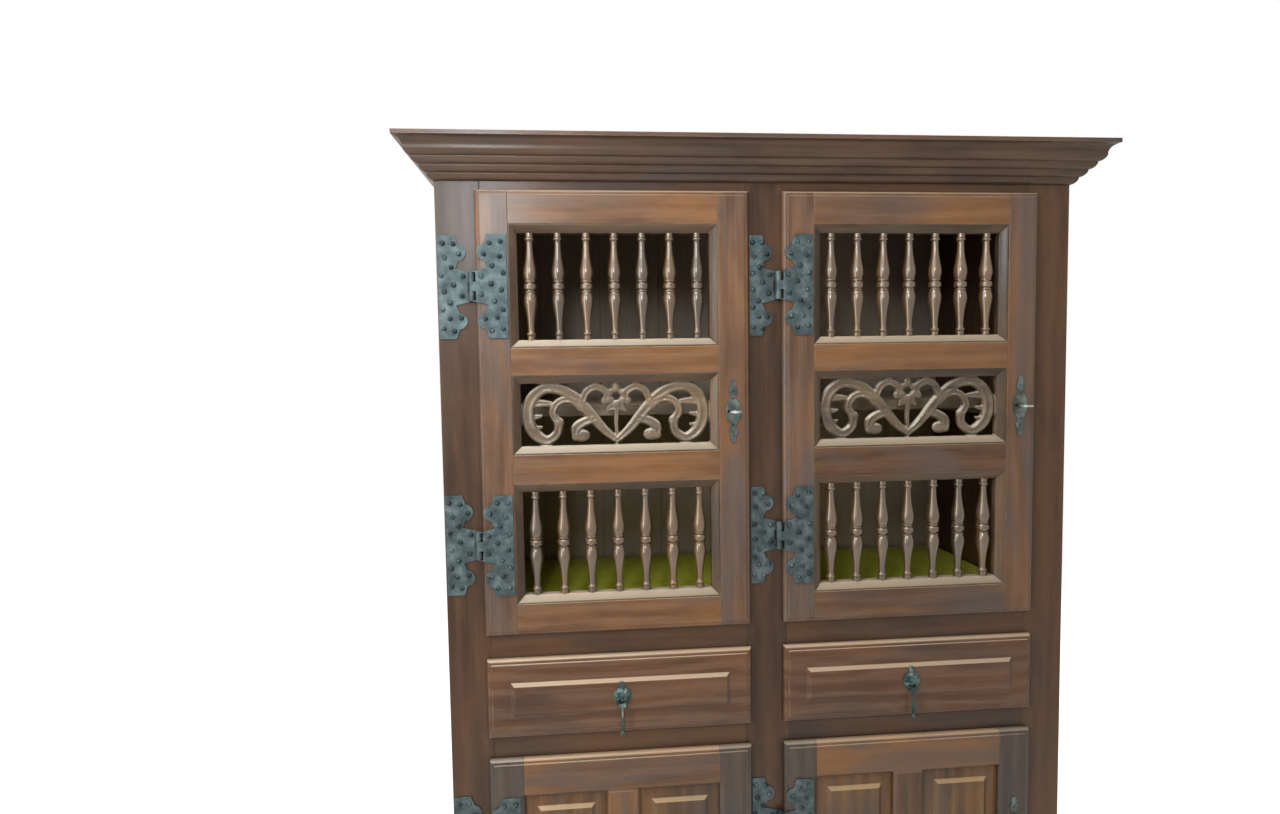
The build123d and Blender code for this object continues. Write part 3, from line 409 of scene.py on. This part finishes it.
def lay_grain(mesh, seed):
    """Runs the grain along each board, at its own cut and tone."""
    draw = random.Random(seed)
    grain = [0.0] * (3 * len(mesh.vertices))
    tone = [0.0] * len(mesh.vertices)
    for board in islands(mesh):
        low, high = limits(mesh, board)
        order = sorted(range(3), key=lambda axis: low[axis] - high[axis])
        centre = (low + high) / 2
        pith = (draw.uniform(-3, 3), draw.uniform(0.02, 0.12), draw.uniform(-0.03, 0.03))
        shade = draw.random()
        for number in board:
            place = mesh.vertices[number].co - centre
            grain[3 * number:3 * number + 3] = [place[axis] + off for axis, off in zip(order, pith)]
            tone[number] = shade
    mesh.attributes.new("grain", "FLOAT_VECTOR", "POINT").data.foreach_set("vector", grain)
    mesh.attributes.new("tone", "FLOAT", "POINT").data.foreach_set("value", tone)


def new_piece(name, shape, finish):
    """An object from a finished bmesh, with its material."""
    mesh = bpy.data.meshes.new(name)
    shape.to_mesh(mesh)
    shape.free()
    mesh.materials.clear()
    mesh.materials.append(finish)
    piece = bpy.data.objects.new(name, mesh)
    bpy.context.scene.collection.objects.link(piece)
    return piece


def settle(piece, finish, smooth=32):
    """Turns a piece with its modifiers into a plain mesh, smooth but for its corners."""
    bpy.context.view_layer.update()
    graph = bpy.context.evaluated_depsgraph_get()
    mesh = bpy.data.meshes.new_from_object(
        piece.evaluated_get(graph), preserve_all_data_layers=True, depsgraph=graph)
    piece.modifiers.clear()
    piece.data = mesh
    mesh.materials.clear()
    mesh.materials.append(finish)
    if smooth:
        mesh.shade_smooth()
        mesh.set_sharp_from_angle(angle=math.radians(smooth))
    return piece


def belongs(piece, body, slot, *nodes):
    """Says which body a piece moves with and what it stands for; its material slot is not used."""
    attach(piece, body)
    if nodes:
        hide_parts(*nodes)
    return piece


def keep_slopes(mesh):
    """Keeps the lines sharp where wide faces meet, however shallow their slopes."""
    shape = bmesh.new()
    shape.from_mesh(mesh)
    for edge in shape.edges:
        wide = [
            face.calc_area() / max(side.calc_length() for side in face.edges) > wide_face
            for face in edge.link_faces
        ]
        if wide == [True, True] and edge.calc_face_angle() > math.radians(least_slope):
            edge.smooth = False
    shape.to_mesh(mesh)
    shape.free()


def eased(node, finish, ease):
    """A copy of a node's shape with its hard corners eased and its grain laid."""
    fielded = finish in (front_wood, panel_wood)
    shape = bmesh.new()
    shape.from_mesh(frame["nodes"][node].data)
    bmesh.ops.remove_doubles(shape, verts=shape.verts, dist=1e-6)
    bmesh.ops.dissolve_limit(shape, angle_limit=math.radians(0.5), verts=shape.verts, edges=shape.edges)
    piece = new_piece(node + "_eased", shape, finish)
    bevel = piece.modifiers.new("eased corners", "BEVEL")
    bevel.width = ease
    bevel.segments = 2
    bevel.limit_method = "ANGLE"
    bevel.angle_limit = math.radians(slope_angle if fielded else corner_angle)
    bevel.use_clamp_overlap = False
    settle(piece, finish)
    if fielded:
        keep_slopes(piece.data)
    flats = piece.modifiers.new("flats stay flat", "WEIGHTED_NORMAL")
    flats.keep_sharp = True
    flats.weight = 100
    settle(piece, finish, 0)
    lay_grain(piece.data, node)
    return belongs(piece, body_of[node], slot_of[node], node)


def smooth_line(points, count):
    """A smooth curve through points of any dimension, in this many places evenly along its spans."""
    spans = len(points) - 1
    line = []
    for number in range(count):
        at = number / (count - 1) * spans
        start = min(int(at), spans - 1)
        part = at - start
        before, first, last, after = (
            points[min(max(start + step, 0), spans)] for step in (-1, 0, 1, 2))
        line.append([
            b + 0.5 * part * (c - a + part * (2 * a - 5 * b + 4 * c - d + part * (3 * (b - c) + d - a)))
            for a, b, c, d in zip(before, first, last, after)
        ])
    return line


def turned(shape, profile, sides):
    """Adds a solid turned on the Z axis: the profile runs from its top pole to its foot pole."""
    rings = []
    for radius, height in profile:
        if radius == 0:
            rings.append([shape.verts.new((0, 0, height))])
        else:
            turns = [2 * math.pi * n / sides for n in range(sides)]
            rings.append([
                shape.verts.new((radius * math.cos(a), radius * math.sin(a), height)) for a in turns])
    for upper, lower in zip(rings, rings[1:]):
        for n in range(sides):
            corners = [upper[n % len(upper)], lower[n % len(lower)],
                       lower[(n + 1) % len(lower)], upper[(n + 1) % len(upper)]]
            shape.faces.new(dict.fromkeys(corners))


def set_out_tree():
    """A node tree that sets a copy of a pattern on every point, each turned and sized a little."""
    tree = bpy.data.node_groups.new("set out copies", "GeometryNodeTree")
    sockets = (
        ("Points", "INPUT", "Geometry"), ("Pattern", "INPUT", "Object"),
        ("Finish", "INPUT", "Material"), ("Turn", "INPUT", "Vector"),
        ("Size spread", "INPUT", "Float"), ("Seed", "INPUT", "Int"), ("Copies", "OUTPUT", "Geometry"),
    )
    for name, way, kind in sockets:
        tree.interface.new_socket(name, in_out=way, socket_type="NodeSocket" + kind)
    node = {}
    for name, kind in (
        ("given", "NodeGroupInput"), ("pattern", "GeometryNodeObjectInfo"),
        ("turn", "FunctionNodeRandomValue"), ("least turn", "ShaderNodeVectorMath"),
        ("size", "FunctionNodeRandomValue"), ("least", "ShaderNodeMath"), ("most", "ShaderNodeMath"),
        ("set out", "GeometryNodeInstanceOnPoints"), ("real", "GeometryNodeRealizeInstances"),
        ("coat", "GeometryNodeSetMaterial"), ("made", "NodeGroupOutput"),
    ):
        node[name] = tree.nodes.new(kind)
    node["turn"].data_type = "FLOAT_VECTOR"
    node["least turn"].operation = "SCALE"
    node["least turn"].inputs["Scale"].default_value = -1.0
    node["least"].operation = "SUBTRACT"
    for name in ("least", "most"):
        node[name].inputs[0].default_value = 1.0
    for start, output, end, socket in (
        ("given", "Points", "set out", "Points"), ("given", "Pattern", "pattern", "Object"),
        ("pattern", "Geometry", "set out", "Instance"), ("given", "Turn", "least turn", 0),
        ("least turn", 0, "turn", 0), ("given", "Turn", "turn", 1), ("given", "Seed", "turn", "Seed"),
        ("turn", 0, "set out", "Rotation"), ("given", "Size spread", "least", 1),
        ("given", "Size spread", "most", 1), ("least", 0, "size", 2), ("most", 0, "size", 3),
        ("given", "Seed", "size", "Seed"), ("size", 1, "set out", "Scale"),
        ("set out", 0, "real", 0), ("real", 0, "coat", 0), ("given", "Finish", "coat", "Material"),
        ("coat", 0, "made", 0),
    ):
        tree.links.new(node[start].outputs[output], node[end].inputs[socket])
    return tree


set_out = set_out_tree()


def copies(name, pattern, places, finish, turn=(0, 0, 0), spread=0.0, seed=1):
    """One plain mesh of a pattern set out on places."""
    points = bmesh.new()
    for place in places:
        points.verts.new(place)
    piece = new_piece(name, points, finish)
    maker = piece.modifiers.new("set out", "NODES")
    maker.node_group = set_out
    given = {
        "Pattern": pattern, "Finish": finish, "Turn": turn, "Size spread": spread, "Seed": seed}
    for item in set_out.interface.items_tree:
        if item.name in given:
            maker[item.identifier] = given[item.name]
    return settle(piece, finish)


def pattern_piece(name, shape):
    """A pattern to copy, which isn't shown itself."""
    bmesh.ops.recalc_face_normals(shape, faces=shape.faces)
    return new_piece(name, shape, nail_iron)


# ---- boards, rails and mouldings ----
# The first ending that fits a node's name gives its finish and how far its corners are eased, in mm.
finishes = (
    # the lower doors' stiles take the darker copy of the stile walnut, painted shade
    ("lower_left_stiles", shaded_low_stile_wood, 0.8), ("lower_right_stiles", shaded_low_stile_wood, 0.8),
    ("face_stiles", face_wood, 1.0), ("face_rails", face_wood, 1.0), ("_stiles", stile_wood, 0.8),
    ("_rails", rail_wood, 0.8), ("_moulds", mould_wood, 0.4), ("_panels", panel_wood, 0.6),
    ("_front", front_wood, 0.8), ("_box", inner_wood, 0.5), ("side_left", face_wood, 1.0),
    ("side_right", face_wood, 1.0), ("top_board", face_wood, 0.8), ("_board", inner_wood, 0.6),
    ("partition", inner_wood, 0.6), ("back_boards", back_wood, 0.8), ("shelves", inner_wood, 0.8),
    ("shelf_cleats", inner_wood, 0.6), ("cornice", cornice_wood, 0.6), ("plinth", cornice_wood, 0.6),
    ("drawer_guides", inner_wood, 0.6), ("hinge_leaves", hinge_iron, 0.4), ("_lock", lock_iron, 0.3),
    ("_key", key_steel, 0.6), ("pull_plate", pull_iron, 0.4), ("pull_drop", pull_iron, 0.2),
)
for node in body_of:
    for ending, finish, ease in finishes:
        if node.endswith(ending):
            eased(node, finish, ease * mm)
            break
for node in [n for n in body_of if n.endswith("lock_bolt")] + ["hinge_pins"]:
    plain_iron = frame["nodes"][node].data
    plain_iron.materials.clear()
    plain_iron.materials.append(bolt_steel)

# ---- turned spindles ----
# Each profile is (radius, height above the middle), in mm, from the top down.
spindle_end = 93.0
spindle_shoulder = 85.0
spindle_sides = 28
spindle_pitch = 45.1 * mm
spindle_pin = ((0, spindle_end), (3.9, spindle_end), (3.9, spindle_shoulder), (6.5, spindle_shoulder))
spindle_turning = (
    (6.5, 79.0), (6.0, 78.2), (7.4, 77.0), (7.9, 75.4), (7.4, 73.8), (5.8, 72.6), (5.4, 69.5),
    (5.5, 63.0), (6.3, 53.0), (7.8, 42.0), (9.7, 32.0), (11.0, 24.0), (10.6, 17.0), (9.2, 11.6),
    (8.4, 9.6),
)
spindle_ring = ((9.6, 8.9), (9.6, 7.4), (7.2, 6.6), (7.2, 5.2), (9.4, 4.6), (10.5, 3.0), (10.5, 0.0))


def spindle_pattern():
    """A turned spindle: pins, collars, bellies and a ring between two grooves."""
    half = [*spindle_pin, *smooth_line(spindle_turning, 36), *spindle_ring]
    whole = half + [(radius, -height) for radius, height in half[-2::-1]]
    shape = bmesh.new()
    turned(shape, [(radius * mm, height * mm) for radius, height in whole], spindle_sides)
    return pattern_piece("spindle_pattern", shape)


spindle = spindle_pattern()
for seed, bay in enumerate(bays):
    node = f"upper_{bay}_spindles"
    low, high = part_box(node)
    centre = [(a + b) / 2 for a, b in zip(low, high)]
    row = (high[2] - low[2]) / 2 - spindle_end * mm
    places = [
        (centre[0] + n * spindle_pitch, centre[1], centre[2] + end * row)
        for end in (-1, 1) for n in range(-3, 4)
    ]
    name = f"turned_{bay}_spindles"
    piece = copies(name, spindle, places, turned_wood, turn=(0, 0, math.pi), seed=seed)
    lay_grain(piece.data, node)
    belongs(piece, body_of[node], slot_of[node], node)

# ---- carved fretwork ----
# Places are shares of half the opening's width and height, and x is mirrored. Each scroll has the
# points of its middle line, its widths in half bands, and the number of steps it is cut in.
fret_half_width = 155.0
fret_half_height = 51.0
scroll_band = 0.165 * fret_half_height
spur_steps = 8
scrolls = (
    (((0.02, -0.92), (-0.14, -0.5), (-0.29, 0.04), (-0.43, 0.5), (-0.58, 0.78), (-0.76, 0.82),
      (-0.9, 0.44), (-0.93, -0.1), (-0.87, -0.58), (-0.74, -0.84), (-0.63, -0.62), (-0.61, -0.27)),
     (1.2, 1.8, 2.2, 2.3, 2.2, 2.2, 2.4, 2.6, 2.4, 2.0, 1.8, 1.7), 90),
    (((-0.61, -0.27), (-0.67, 0.06), (-0.61, 0.38), (-0.49, 0.46), (-0.37, 0.26)),
     (1.6, 1.6, 1.5, 1.6, 1.9), 30),
    (((-0.22, -0.16), (-0.34, -0.26), (-0.43, -0.46), (-0.43, -0.72)), (1.6, 1.9, 1.9, 1.5), 30),
    (((-0.36, 0.36), (-0.31, 0.7), (-0.21, 0.85), (-0.1, 0.66), (-0.12, 0.4)),
     (1.5, 1.6, 1.7, 1.6, 1.3), 30),
    (((-0.92, 0.3), (-0.8, 0.36), (-0.68, 0.34)), (1.4, 1.5, 0.9), spur_steps),
    (((-0.92, -0.06), (-0.85, -0.08), (-0.78, -0.04)), (1.1, 1.0, 0.5), spur_steps),
    (((-0.9, -0.42), (-0.85, -0.43), (-0.78, -0.4)), (1.1, 1.0, 0.5), spur_steps),
    (((0.0, 0.14), (-0.05, 0.2), (-0.1, 0.04)), (1.0, 1.6, 0.5), spur_steps),
)
curl_lobe = (-0.37, -0.7, 0.09, 0.21)
flower_height = 0.55
petal_reach = (0.085, 0.24)
petal_size = (0.052, 0.13)
bud_height = 0.9
bud_size = (0.05, 0.1)
stem_steps = 20
scroll_depth, spur_depth, stem_depth = 0.96, 0.7, 0.8  # shares of the board's thickness
fret_voxel = 1.2 * mm
band_section = (
    (-1.0, 0.0), (-1.0, 0.45), (-0.84, 0.78), (-0.55, 1.0), (-0.16, 0.82), (0.16, 0.82),
    (0.55, 1.0), (0.84, 0.78), (1.0, 0.45), (1.0, 0.0),
)


def band(shape, line, back, depth):
    """Adds a carved band along a line of (x, z, half width), round at the front and flat behind."""
    rings = []
    for number, (x, z, half) in enumerate(line):
        near, far = line[max(number - 1, 0)], line[min(number + 1, len(line) - 1)]
        along = Vector((far[0] - near[0], far[1] - near[1])).normalized()
        rings.append([
            shape.verts.new((x - along.y * half * side, back - depth * up, z + along.x * half * side))
            for side, up in band_section
        ])
    for one, two in zip(rings, rings[1:]):
        for n in range(len(one)):
            m = (n + 1) % len(one)
            shape.faces.new((one[n], one[m], two[m], two[n]))
    shape.faces.new(rings[0][::-1])
    shape.faces.new(rings[-1])


def lump(shape, centre, radii):
    """Adds a rounded lump with its middle at centre."""
    place = Matrix.Translation(centre) @ Matrix.Diagonal((*radii, 1))
    bmesh.ops.create_uvsphere(shape, u_segments=20, v_segments=12, radius=1, matrix=place)


# The middle of a fret, its board's back and thickness, and its halves inside the rim and over it.
Fret = namedtuple("Fret", "x z back thick wide tall rim_wide rim_tall")


def add_scrolls(shape, fret):
    """Adds the scrolls and spurs of both halves, a knob on each scroll's end and the curls' lobes."""
    for side in (-1, 1):
        for points, widths, count in scrolls:
            line = smooth_line(points, count)
            sizes = smooth_line([(w,) for w in widths], count)
            path = [
                (fret.x - side * x * fret.wide, fret.z + z * fret.tall, scroll_band * mm * size[0] / 2)
                for (x, z), size in zip(line, sizes)
            ]
            is_spur = count == spur_steps
            band(shape, path, fret.back, fret.thick * (spur_depth if is_spur else scroll_depth))
            if not is_spur:
                x, z, half = path[-1]
                lump(shape, (x, fret.back - 0.45 * fret.thick, z),
                     (half * 1.25, 0.5 * fret.thick, half * 1.25))
        x, z, half_x, half_z = curl_lobe
        lump(shape,
             (fret.x - side * x * fret.wide, fret.back - 0.4 * fret.thick, fret.z + z * fret.tall),
             (half_x * fret.wide, 0.56 * fret.thick, half_z * fret.tall))


def add_flower(shape, fret):
    """Adds the open flower, its winding stem and the bud above it."""
    flower = fret.z + flower_height * fret.tall
    for petal in range(6):
        angle = math.radians(60 * petal + 30)
        place = (
            fret.x + petal_reach[0] * fret.wide * math.cos(angle), fret.back - 0.45 * fret.thick,
            flower + petal_reach[1] * fret.tall * math.sin(angle),
        )
        lump(shape, place,
             (petal_size[0] * fret.wide, 0.5 * fret.thick, petal_size[1] * fret.tall))
    stem = []
    for n in range(stem_steps + 1):
        t = n / stem_steps
        stem.append((
            fret.x + 0.004 * fret.wide * math.sin(9 * t), fret.z + (0.42 - 1.36 * t) * fret.tall,
            (0.03 - 0.012 * t) * fret.wide,
        ))
    band(shape, stem, fret.back, stem_depth * fret.thick)
    lump(shape, (fret.x, fret.back - 0.4 * fret.thick, fret.z + bud_height * fret.tall),
         (bud_size[0] * fret.wide, 0.4 * fret.thick, bud_size[1] * fret.tall))


def add_rim(shape, fret):
    """Adds the four strips that stay round the pierced opening."""
    side_strip, end_strip = fret.rim_wide - fret.wide, fret.rim_tall - fret.tall
    for size_x, size_z, at_x, at_z in (
        (2 * fret.rim_wide, end_strip, 0, 1), (2 * fret.rim_wide, end_strip, 0, -1),
        (side_strip, 2 * fret.rim_tall, 1, 0), (side_strip, 2 * fret.rim_tall, -1, 0),
    ):
        place = (
            fret.x + at_x * (fret.rim_wide + fret.wide) / 2, fret.back - fret.thick / 2,
            fret.z + at_z * (fret.rim_tall + fret.tall) / 2,
        )
        strip = Matrix.Translation(place) @ Matrix.Diagonal((size_x, fret.thick, size_z, 1))
        bmesh.ops.create_cube(shape, size=1, matrix=strip)


def carved_fretwork(bay):
    """A pierced and carved board: scrolls, curls and spurs about an open flower."""
    node = f"upper_{bay}_fretwork"
    low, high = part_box(node)
    fret = Fret(
        x=(low[0] + high[0]) / 2, z=(low[2] + high[2]) / 2, back=high[1], thick=high[1] - low[1],
        wide=fret_half_width * mm, tall=fret_half_height * mm,
        rim_wide=(high[0] - low[0]) / 2, rim_tall=(high[2] - low[2]) / 2,
    )
    shape = bmesh.new()
    add_scrolls(shape, fret)
    add_flower(shape, fret)
    add_rim(shape, fret)
    bmesh.ops.recalc_face_normals(shape, faces=shape.faces)
    piece = new_piece(f"carved_{bay}_fretwork", shape, carved_wood)
    merge = piece.modifiers.new("one board", "REMESH")
    merge.mode = "VOXEL"
    merge.voxel_size = fret_voxel
    scrape = piece.modifiers.new("scraped", "SMOOTH")
    scrape.factor = 0.5
    scrape.iterations = 3
    settle(piece, carved_wood, smooth=60)
    lay_grain(piece.data, node)
    return belongs(piece, body_of[node], slot_of[node], node)


for bay in bays:
    carved_fretwork(bay)


# ---- nails ----
nail_sides = 12
nail_dome = (
    (0, 1.0), (0.34, 0.94), (0.66, 0.72), (0.9, 0.4), (1.0, 0.08), (1.0, -0.2), (0, -0.2))


def nail_pattern(radius, rise):
    """A hand-made nail head that faces the front."""
    shape = bmesh.new()
    turned(shape, [(out * radius, up * rise) for out, up in nail_dome], nail_sides)
    bmesh.ops.rotate(shape, verts=shape.verts, matrix=Matrix.Rotation(math.radians(90), 3, "X"))
    return pattern_piece("nail_pattern", shape)


hinge_nail = nail_pattern(3.9 * mm, 2.8 * mm)
plate_nail = nail_pattern(1.8 * mm, 1.1 * mm)
hinge_nail_places = (
    (0.86, 0.86), (0.55, 0.84), (0.36, 0.63), (0.80, 0.58), (0.62, 0.38), (0.88, 0.24), (0.28, 0.20),
    (0.55, 0.06), (0.84, -0.08), (0.30, -0.16), (0.66, -0.30), (0.88, -0.44), (0.36, -0.61),
    (0.70, -0.62), (0.55, -0.86), (0.87, -0.82),
)
lock_nail_heights = (-34, -22, 22, 34)
leaf_thick = 2 * mm
knuckle_reach = 5 * mm
stray_out, stray_up = 1.2, 1.5
nail_tilt = math.radians(7)
tilt = (nail_tilt, math.pi, nail_tilt)
doors = [(tier, bay) for tier in tiers for bay in bays]
leaf_nodes = [("frame_hinge_leaves", -1)] + [(f"{tier}_{bay}_hinge_leaves", 1) for tier, bay in doors]


def leaf_nails(node, side, front):
    """Places of the nails in every leaf of a node: side 1 leaves run right from their pin."""
    draw = random.Random(node)
    mesh = bpy.data.objects[node + "_eased"].data
    places = []
    for leaf in islands(mesh):
        low, high = limits(mesh, leaf)
        pin = low.x if side == 1 else high.x
        width, half = high.x - low.x - knuckle_reach, (high.z - low.z) / 2
        for out, up in hinge_nail_places:
            places.append((
                pin + side * (knuckle_reach + out * width + draw.uniform(-stray_out, stray_out) * mm),
                front, (low.z + high.z) / 2 + up * half + draw.uniform(-stray_up, stray_up) * mm,
            ))
    return places


for number, (node, side) in enumerate(leaf_nodes):
    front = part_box("face_stiles")[0][1] if side == -1 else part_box("upper_left_stiles")[0][1]
    places = leaf_nails(node, side, front - leaf_thick)
    name = node.replace("leaves", "nails")
    piece = copies(name, hinge_nail, places, nail_iron, turn=tilt, spread=0.12, seed=number)
    belongs(piece, body_of[node], slot_of[node])

for number, (tier, bay) in enumerate(doors):
    node = f"{tier}_{bay}_lock"
    key_low, key_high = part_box(f"{tier}_{bay}_key")
    x, z = (key_low[0] + key_high[0]) / 2, (key_low[2] + key_high[2]) / 2
    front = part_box(node)[0][1]
    places = [(x, front, z + up * mm) for up in lock_nail_heights]
    piece = copies(node + "_nails", plate_nail, places, nail_iron, turn=tilt, spread=0.1, seed=number)
    belongs(piece, body_of[node], slot_of[node])


# ---- drawer rosettes ----
plate_thick = 2 * mm
rosette_sides = 64
rosette_radius = 12 * mm
rosette_rise = 3.2 * mm
rosette_petals = 8
rosette_eye = 0.4
rosette_profile = (
    (0.0, 1.0), (0.16, 0.97), (0.28, 0.8), (0.34, 0.5), (0.42, 0.55), (0.6, 0.66), (0.78, 0.5),
    (0.92, 0.22), (1.0, 0.0), (1.0, -0.2), (0.0, -0.2),
)


def rosette(bay):
    """A petalled boss on the pull's plate."""
    node = f"drawer_{bay}_pull_plate"
    low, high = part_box(node)
    x, z = (low[0] + high[0]) / 2, (low[2] + high[2]) / 2
    front = high[1] - plate_thick
    shape = bmesh.new()
    profile = [(out * rosette_radius, up * rosette_rise) for out, up in rosette_profile]
    turned(shape, profile, rosette_sides)
    for vert in shape.verts:
        out = Vector(vert.co.xy).length / rosette_radius
        if out > rosette_eye:
            petal = math.cos(rosette_petals * math.atan2(vert.co.y, vert.co.x))
            vert.co.xy *= 1 + 0.07 * petal * out
            vert.co.z *= 1 + 0.35 * petal
    bmesh.ops.recalc_face_normals(shape, faces=shape.faces)
    place = Matrix.Translation((x, front, z)) @ Matrix.Rotation(math.radians(90), 4, "X")
    bmesh.ops.transform(shape, matrix=place, verts=shape.verts)
    piece = settle(new_piece(f"drawer_{bay}_rosette", shape, pull_iron), pull_iron, smooth=50)
    return belongs(piece, body_of[node], slot_of[node])


for bay in bays:
    rosette(bay)


# ---- felt ----
felt_steps = (96, 36)
felt_thick = 1.2 * mm
felt_wave = 0.3 * mm
felt_cut = 0.8  # mm that its cut edges wander inward


def felt_sheet():
    """A cut sheet of felt that lies a little uneven on the waist board."""
    low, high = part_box("felt_liner")
    draw = random.Random("felt")
    size = (high[0] - low[0], high[1] - low[1])
    across, deep = felt_steps
    shape = bmesh.new()
    rows = []
    for j in range(deep + 1):
        row = []
        for i in range(across + 1):
            edge = i in (0, across) or j in (0, deep)
            inward = draw.uniform(0.0, felt_cut) * mm if edge else 0.0
            x = low[0] + size[0] * i / across
            y = low[1] + size[1] * j / deep
            x += inward if i == 0 else -inward if i == across else 0
            y += inward if j == 0 else -inward if j == deep else 0
            wave = 0.5 + 0.25 * math.sin(23 * x + 3 * math.sin(11 * y))
            wave += 0.25 * math.sin(37 * y + 8 * x)
            row.append(shape.verts.new((x, y, low[2] + felt_wave * wave)))
        rows.append(row)
    for one, two in zip(rows, rows[1:]):
        for i in range(across):
            shape.faces.new((one[i], one[i + 1], two[i + 1], two[i]))
    piece = new_piece("green_felt_sheet", shape, green_felt)
    body = piece.modifiers.new("thickness", "SOLIDIFY")
    body.thickness = felt_thick
    body.offset = 1.0
    settle(piece, green_felt, smooth=40)
    belongs(piece, body_of["felt_liner"], slot_of["felt_liner"], "felt_liner")


felt_sheet()

for pattern in [o for o in bpy.data.objects if "_pattern" in o.name]:
    bpy.data.objects.remove(pattern)


# ---- floor, light and camera ----
floor_radius = 9.0
floor_glow = 0.81
sky_light = 0.12
floor_finish = Finish("studio floor", Roughness=0.7)
speckle = floor_finish.cloud(floor_finish.node("TexCoord", {}, output=3), 40.0)
floor_finish.wear(
    Base_Color=floor_finish.ramp(speckle, (0.3, stain(232, 231, 229)), (0.7, stain(238, 237, 235))),
    Emission_Color=(1.0, 1.0, 1.0, 1.0), Emission_Strength=seen_share(floor_finish.tree) * floor_glow,
)
floor_shape = bmesh.new()
bmesh.ops.create_circle(floor_shape, cap_ends=True, segments=96, radius=floor_radius)
floor = new_piece("studio_floor", floor_shape, floor_finish.material)

world = bpy.data.worlds.new("studio")
bpy.context.scene.world = world
world.use_nodes = True
sky = world.node_tree.nodes["Background"]
sky.inputs["Color"].default_value = (1.0, 1.0, 1.0, 1.0)
sky_strength = sky_light + (1 - sky_light) * seen_share(world.node_tree)
feed(world.node_tree, sky.inputs["Strength"], sky_strength)


def lamp(name, place, target, size, power, colour=(1.0, 1.0, 1.0)):
    """A soft lamp, so wide and so tall, that looks at a point."""
    light = bpy.data.lights.new(name, "AREA")
    light.shape = "RECTANGLE"
    light.size, light.size_y = size
    light.energy = power
    light.color = colour
    lamp_object = bpy.data.objects.new(name, light)
    bpy.context.scene.collection.objects.link(lamp_object)
    lamp_object.location = place
    lamp_object.rotation_euler = (Vector(target) - Vector(place)).to_track_quat("-Z", "Y").to_euler()


lamp("window lamp", (-1.5, -1.35, 1.55), (-0.3, -0.2, 1.4), (0.42, 1.7), 18)
lamp("ceiling lamp", (-0.6, -0.8, 2.6), (-0.4, -0.2, 1.1), (1.0, 0.8), 20)
lamp("front lamp", (-0.66, -1.8, 2.05), (-0.42, -0.2, 1.6), (0.24, 0.6), 16, (0.78, 0.89, 1.0))
lamp("fill lamp", (2.6, -3.4, 1.4), (0.2, -0.2, 0.9), (2.4, 2.4), 1.5)
lamp("back lamp", (1.9, 2.6, 2.0), (0.2, 0.0, 0.9), (2.0, 2.0), 56)

image_width = 1280
focal_pixels = 700.0
sensor_mm = 36.0
camera_place = (-0.3059, -1.3278, 1.3945)
yaw, pitch, roll = (math.radians(a) for a in (4.82, -3.29, -0.88))
camera_data = bpy.data.cameras.new("camera")
camera_data.sensor_width = sensor_mm
camera_data.lens = focal_pixels / image_width * sensor_mm
camera = bpy.data.objects.new("camera", camera_data)
bpy.context.scene.collection.objects.link(camera)
camera.matrix_world = (
    Matrix.Translation(camera_place) @ Matrix.Rotation(-yaw, 4, "Z")
    @ Matrix.Rotation(math.radians(90) + pitch, 4, "X") @ Matrix.Rotation(roll, 4, "Z")
)
bpy.context.scene.camera = camera
bpy.context.scene.view_settings.view_transform = "Standard"
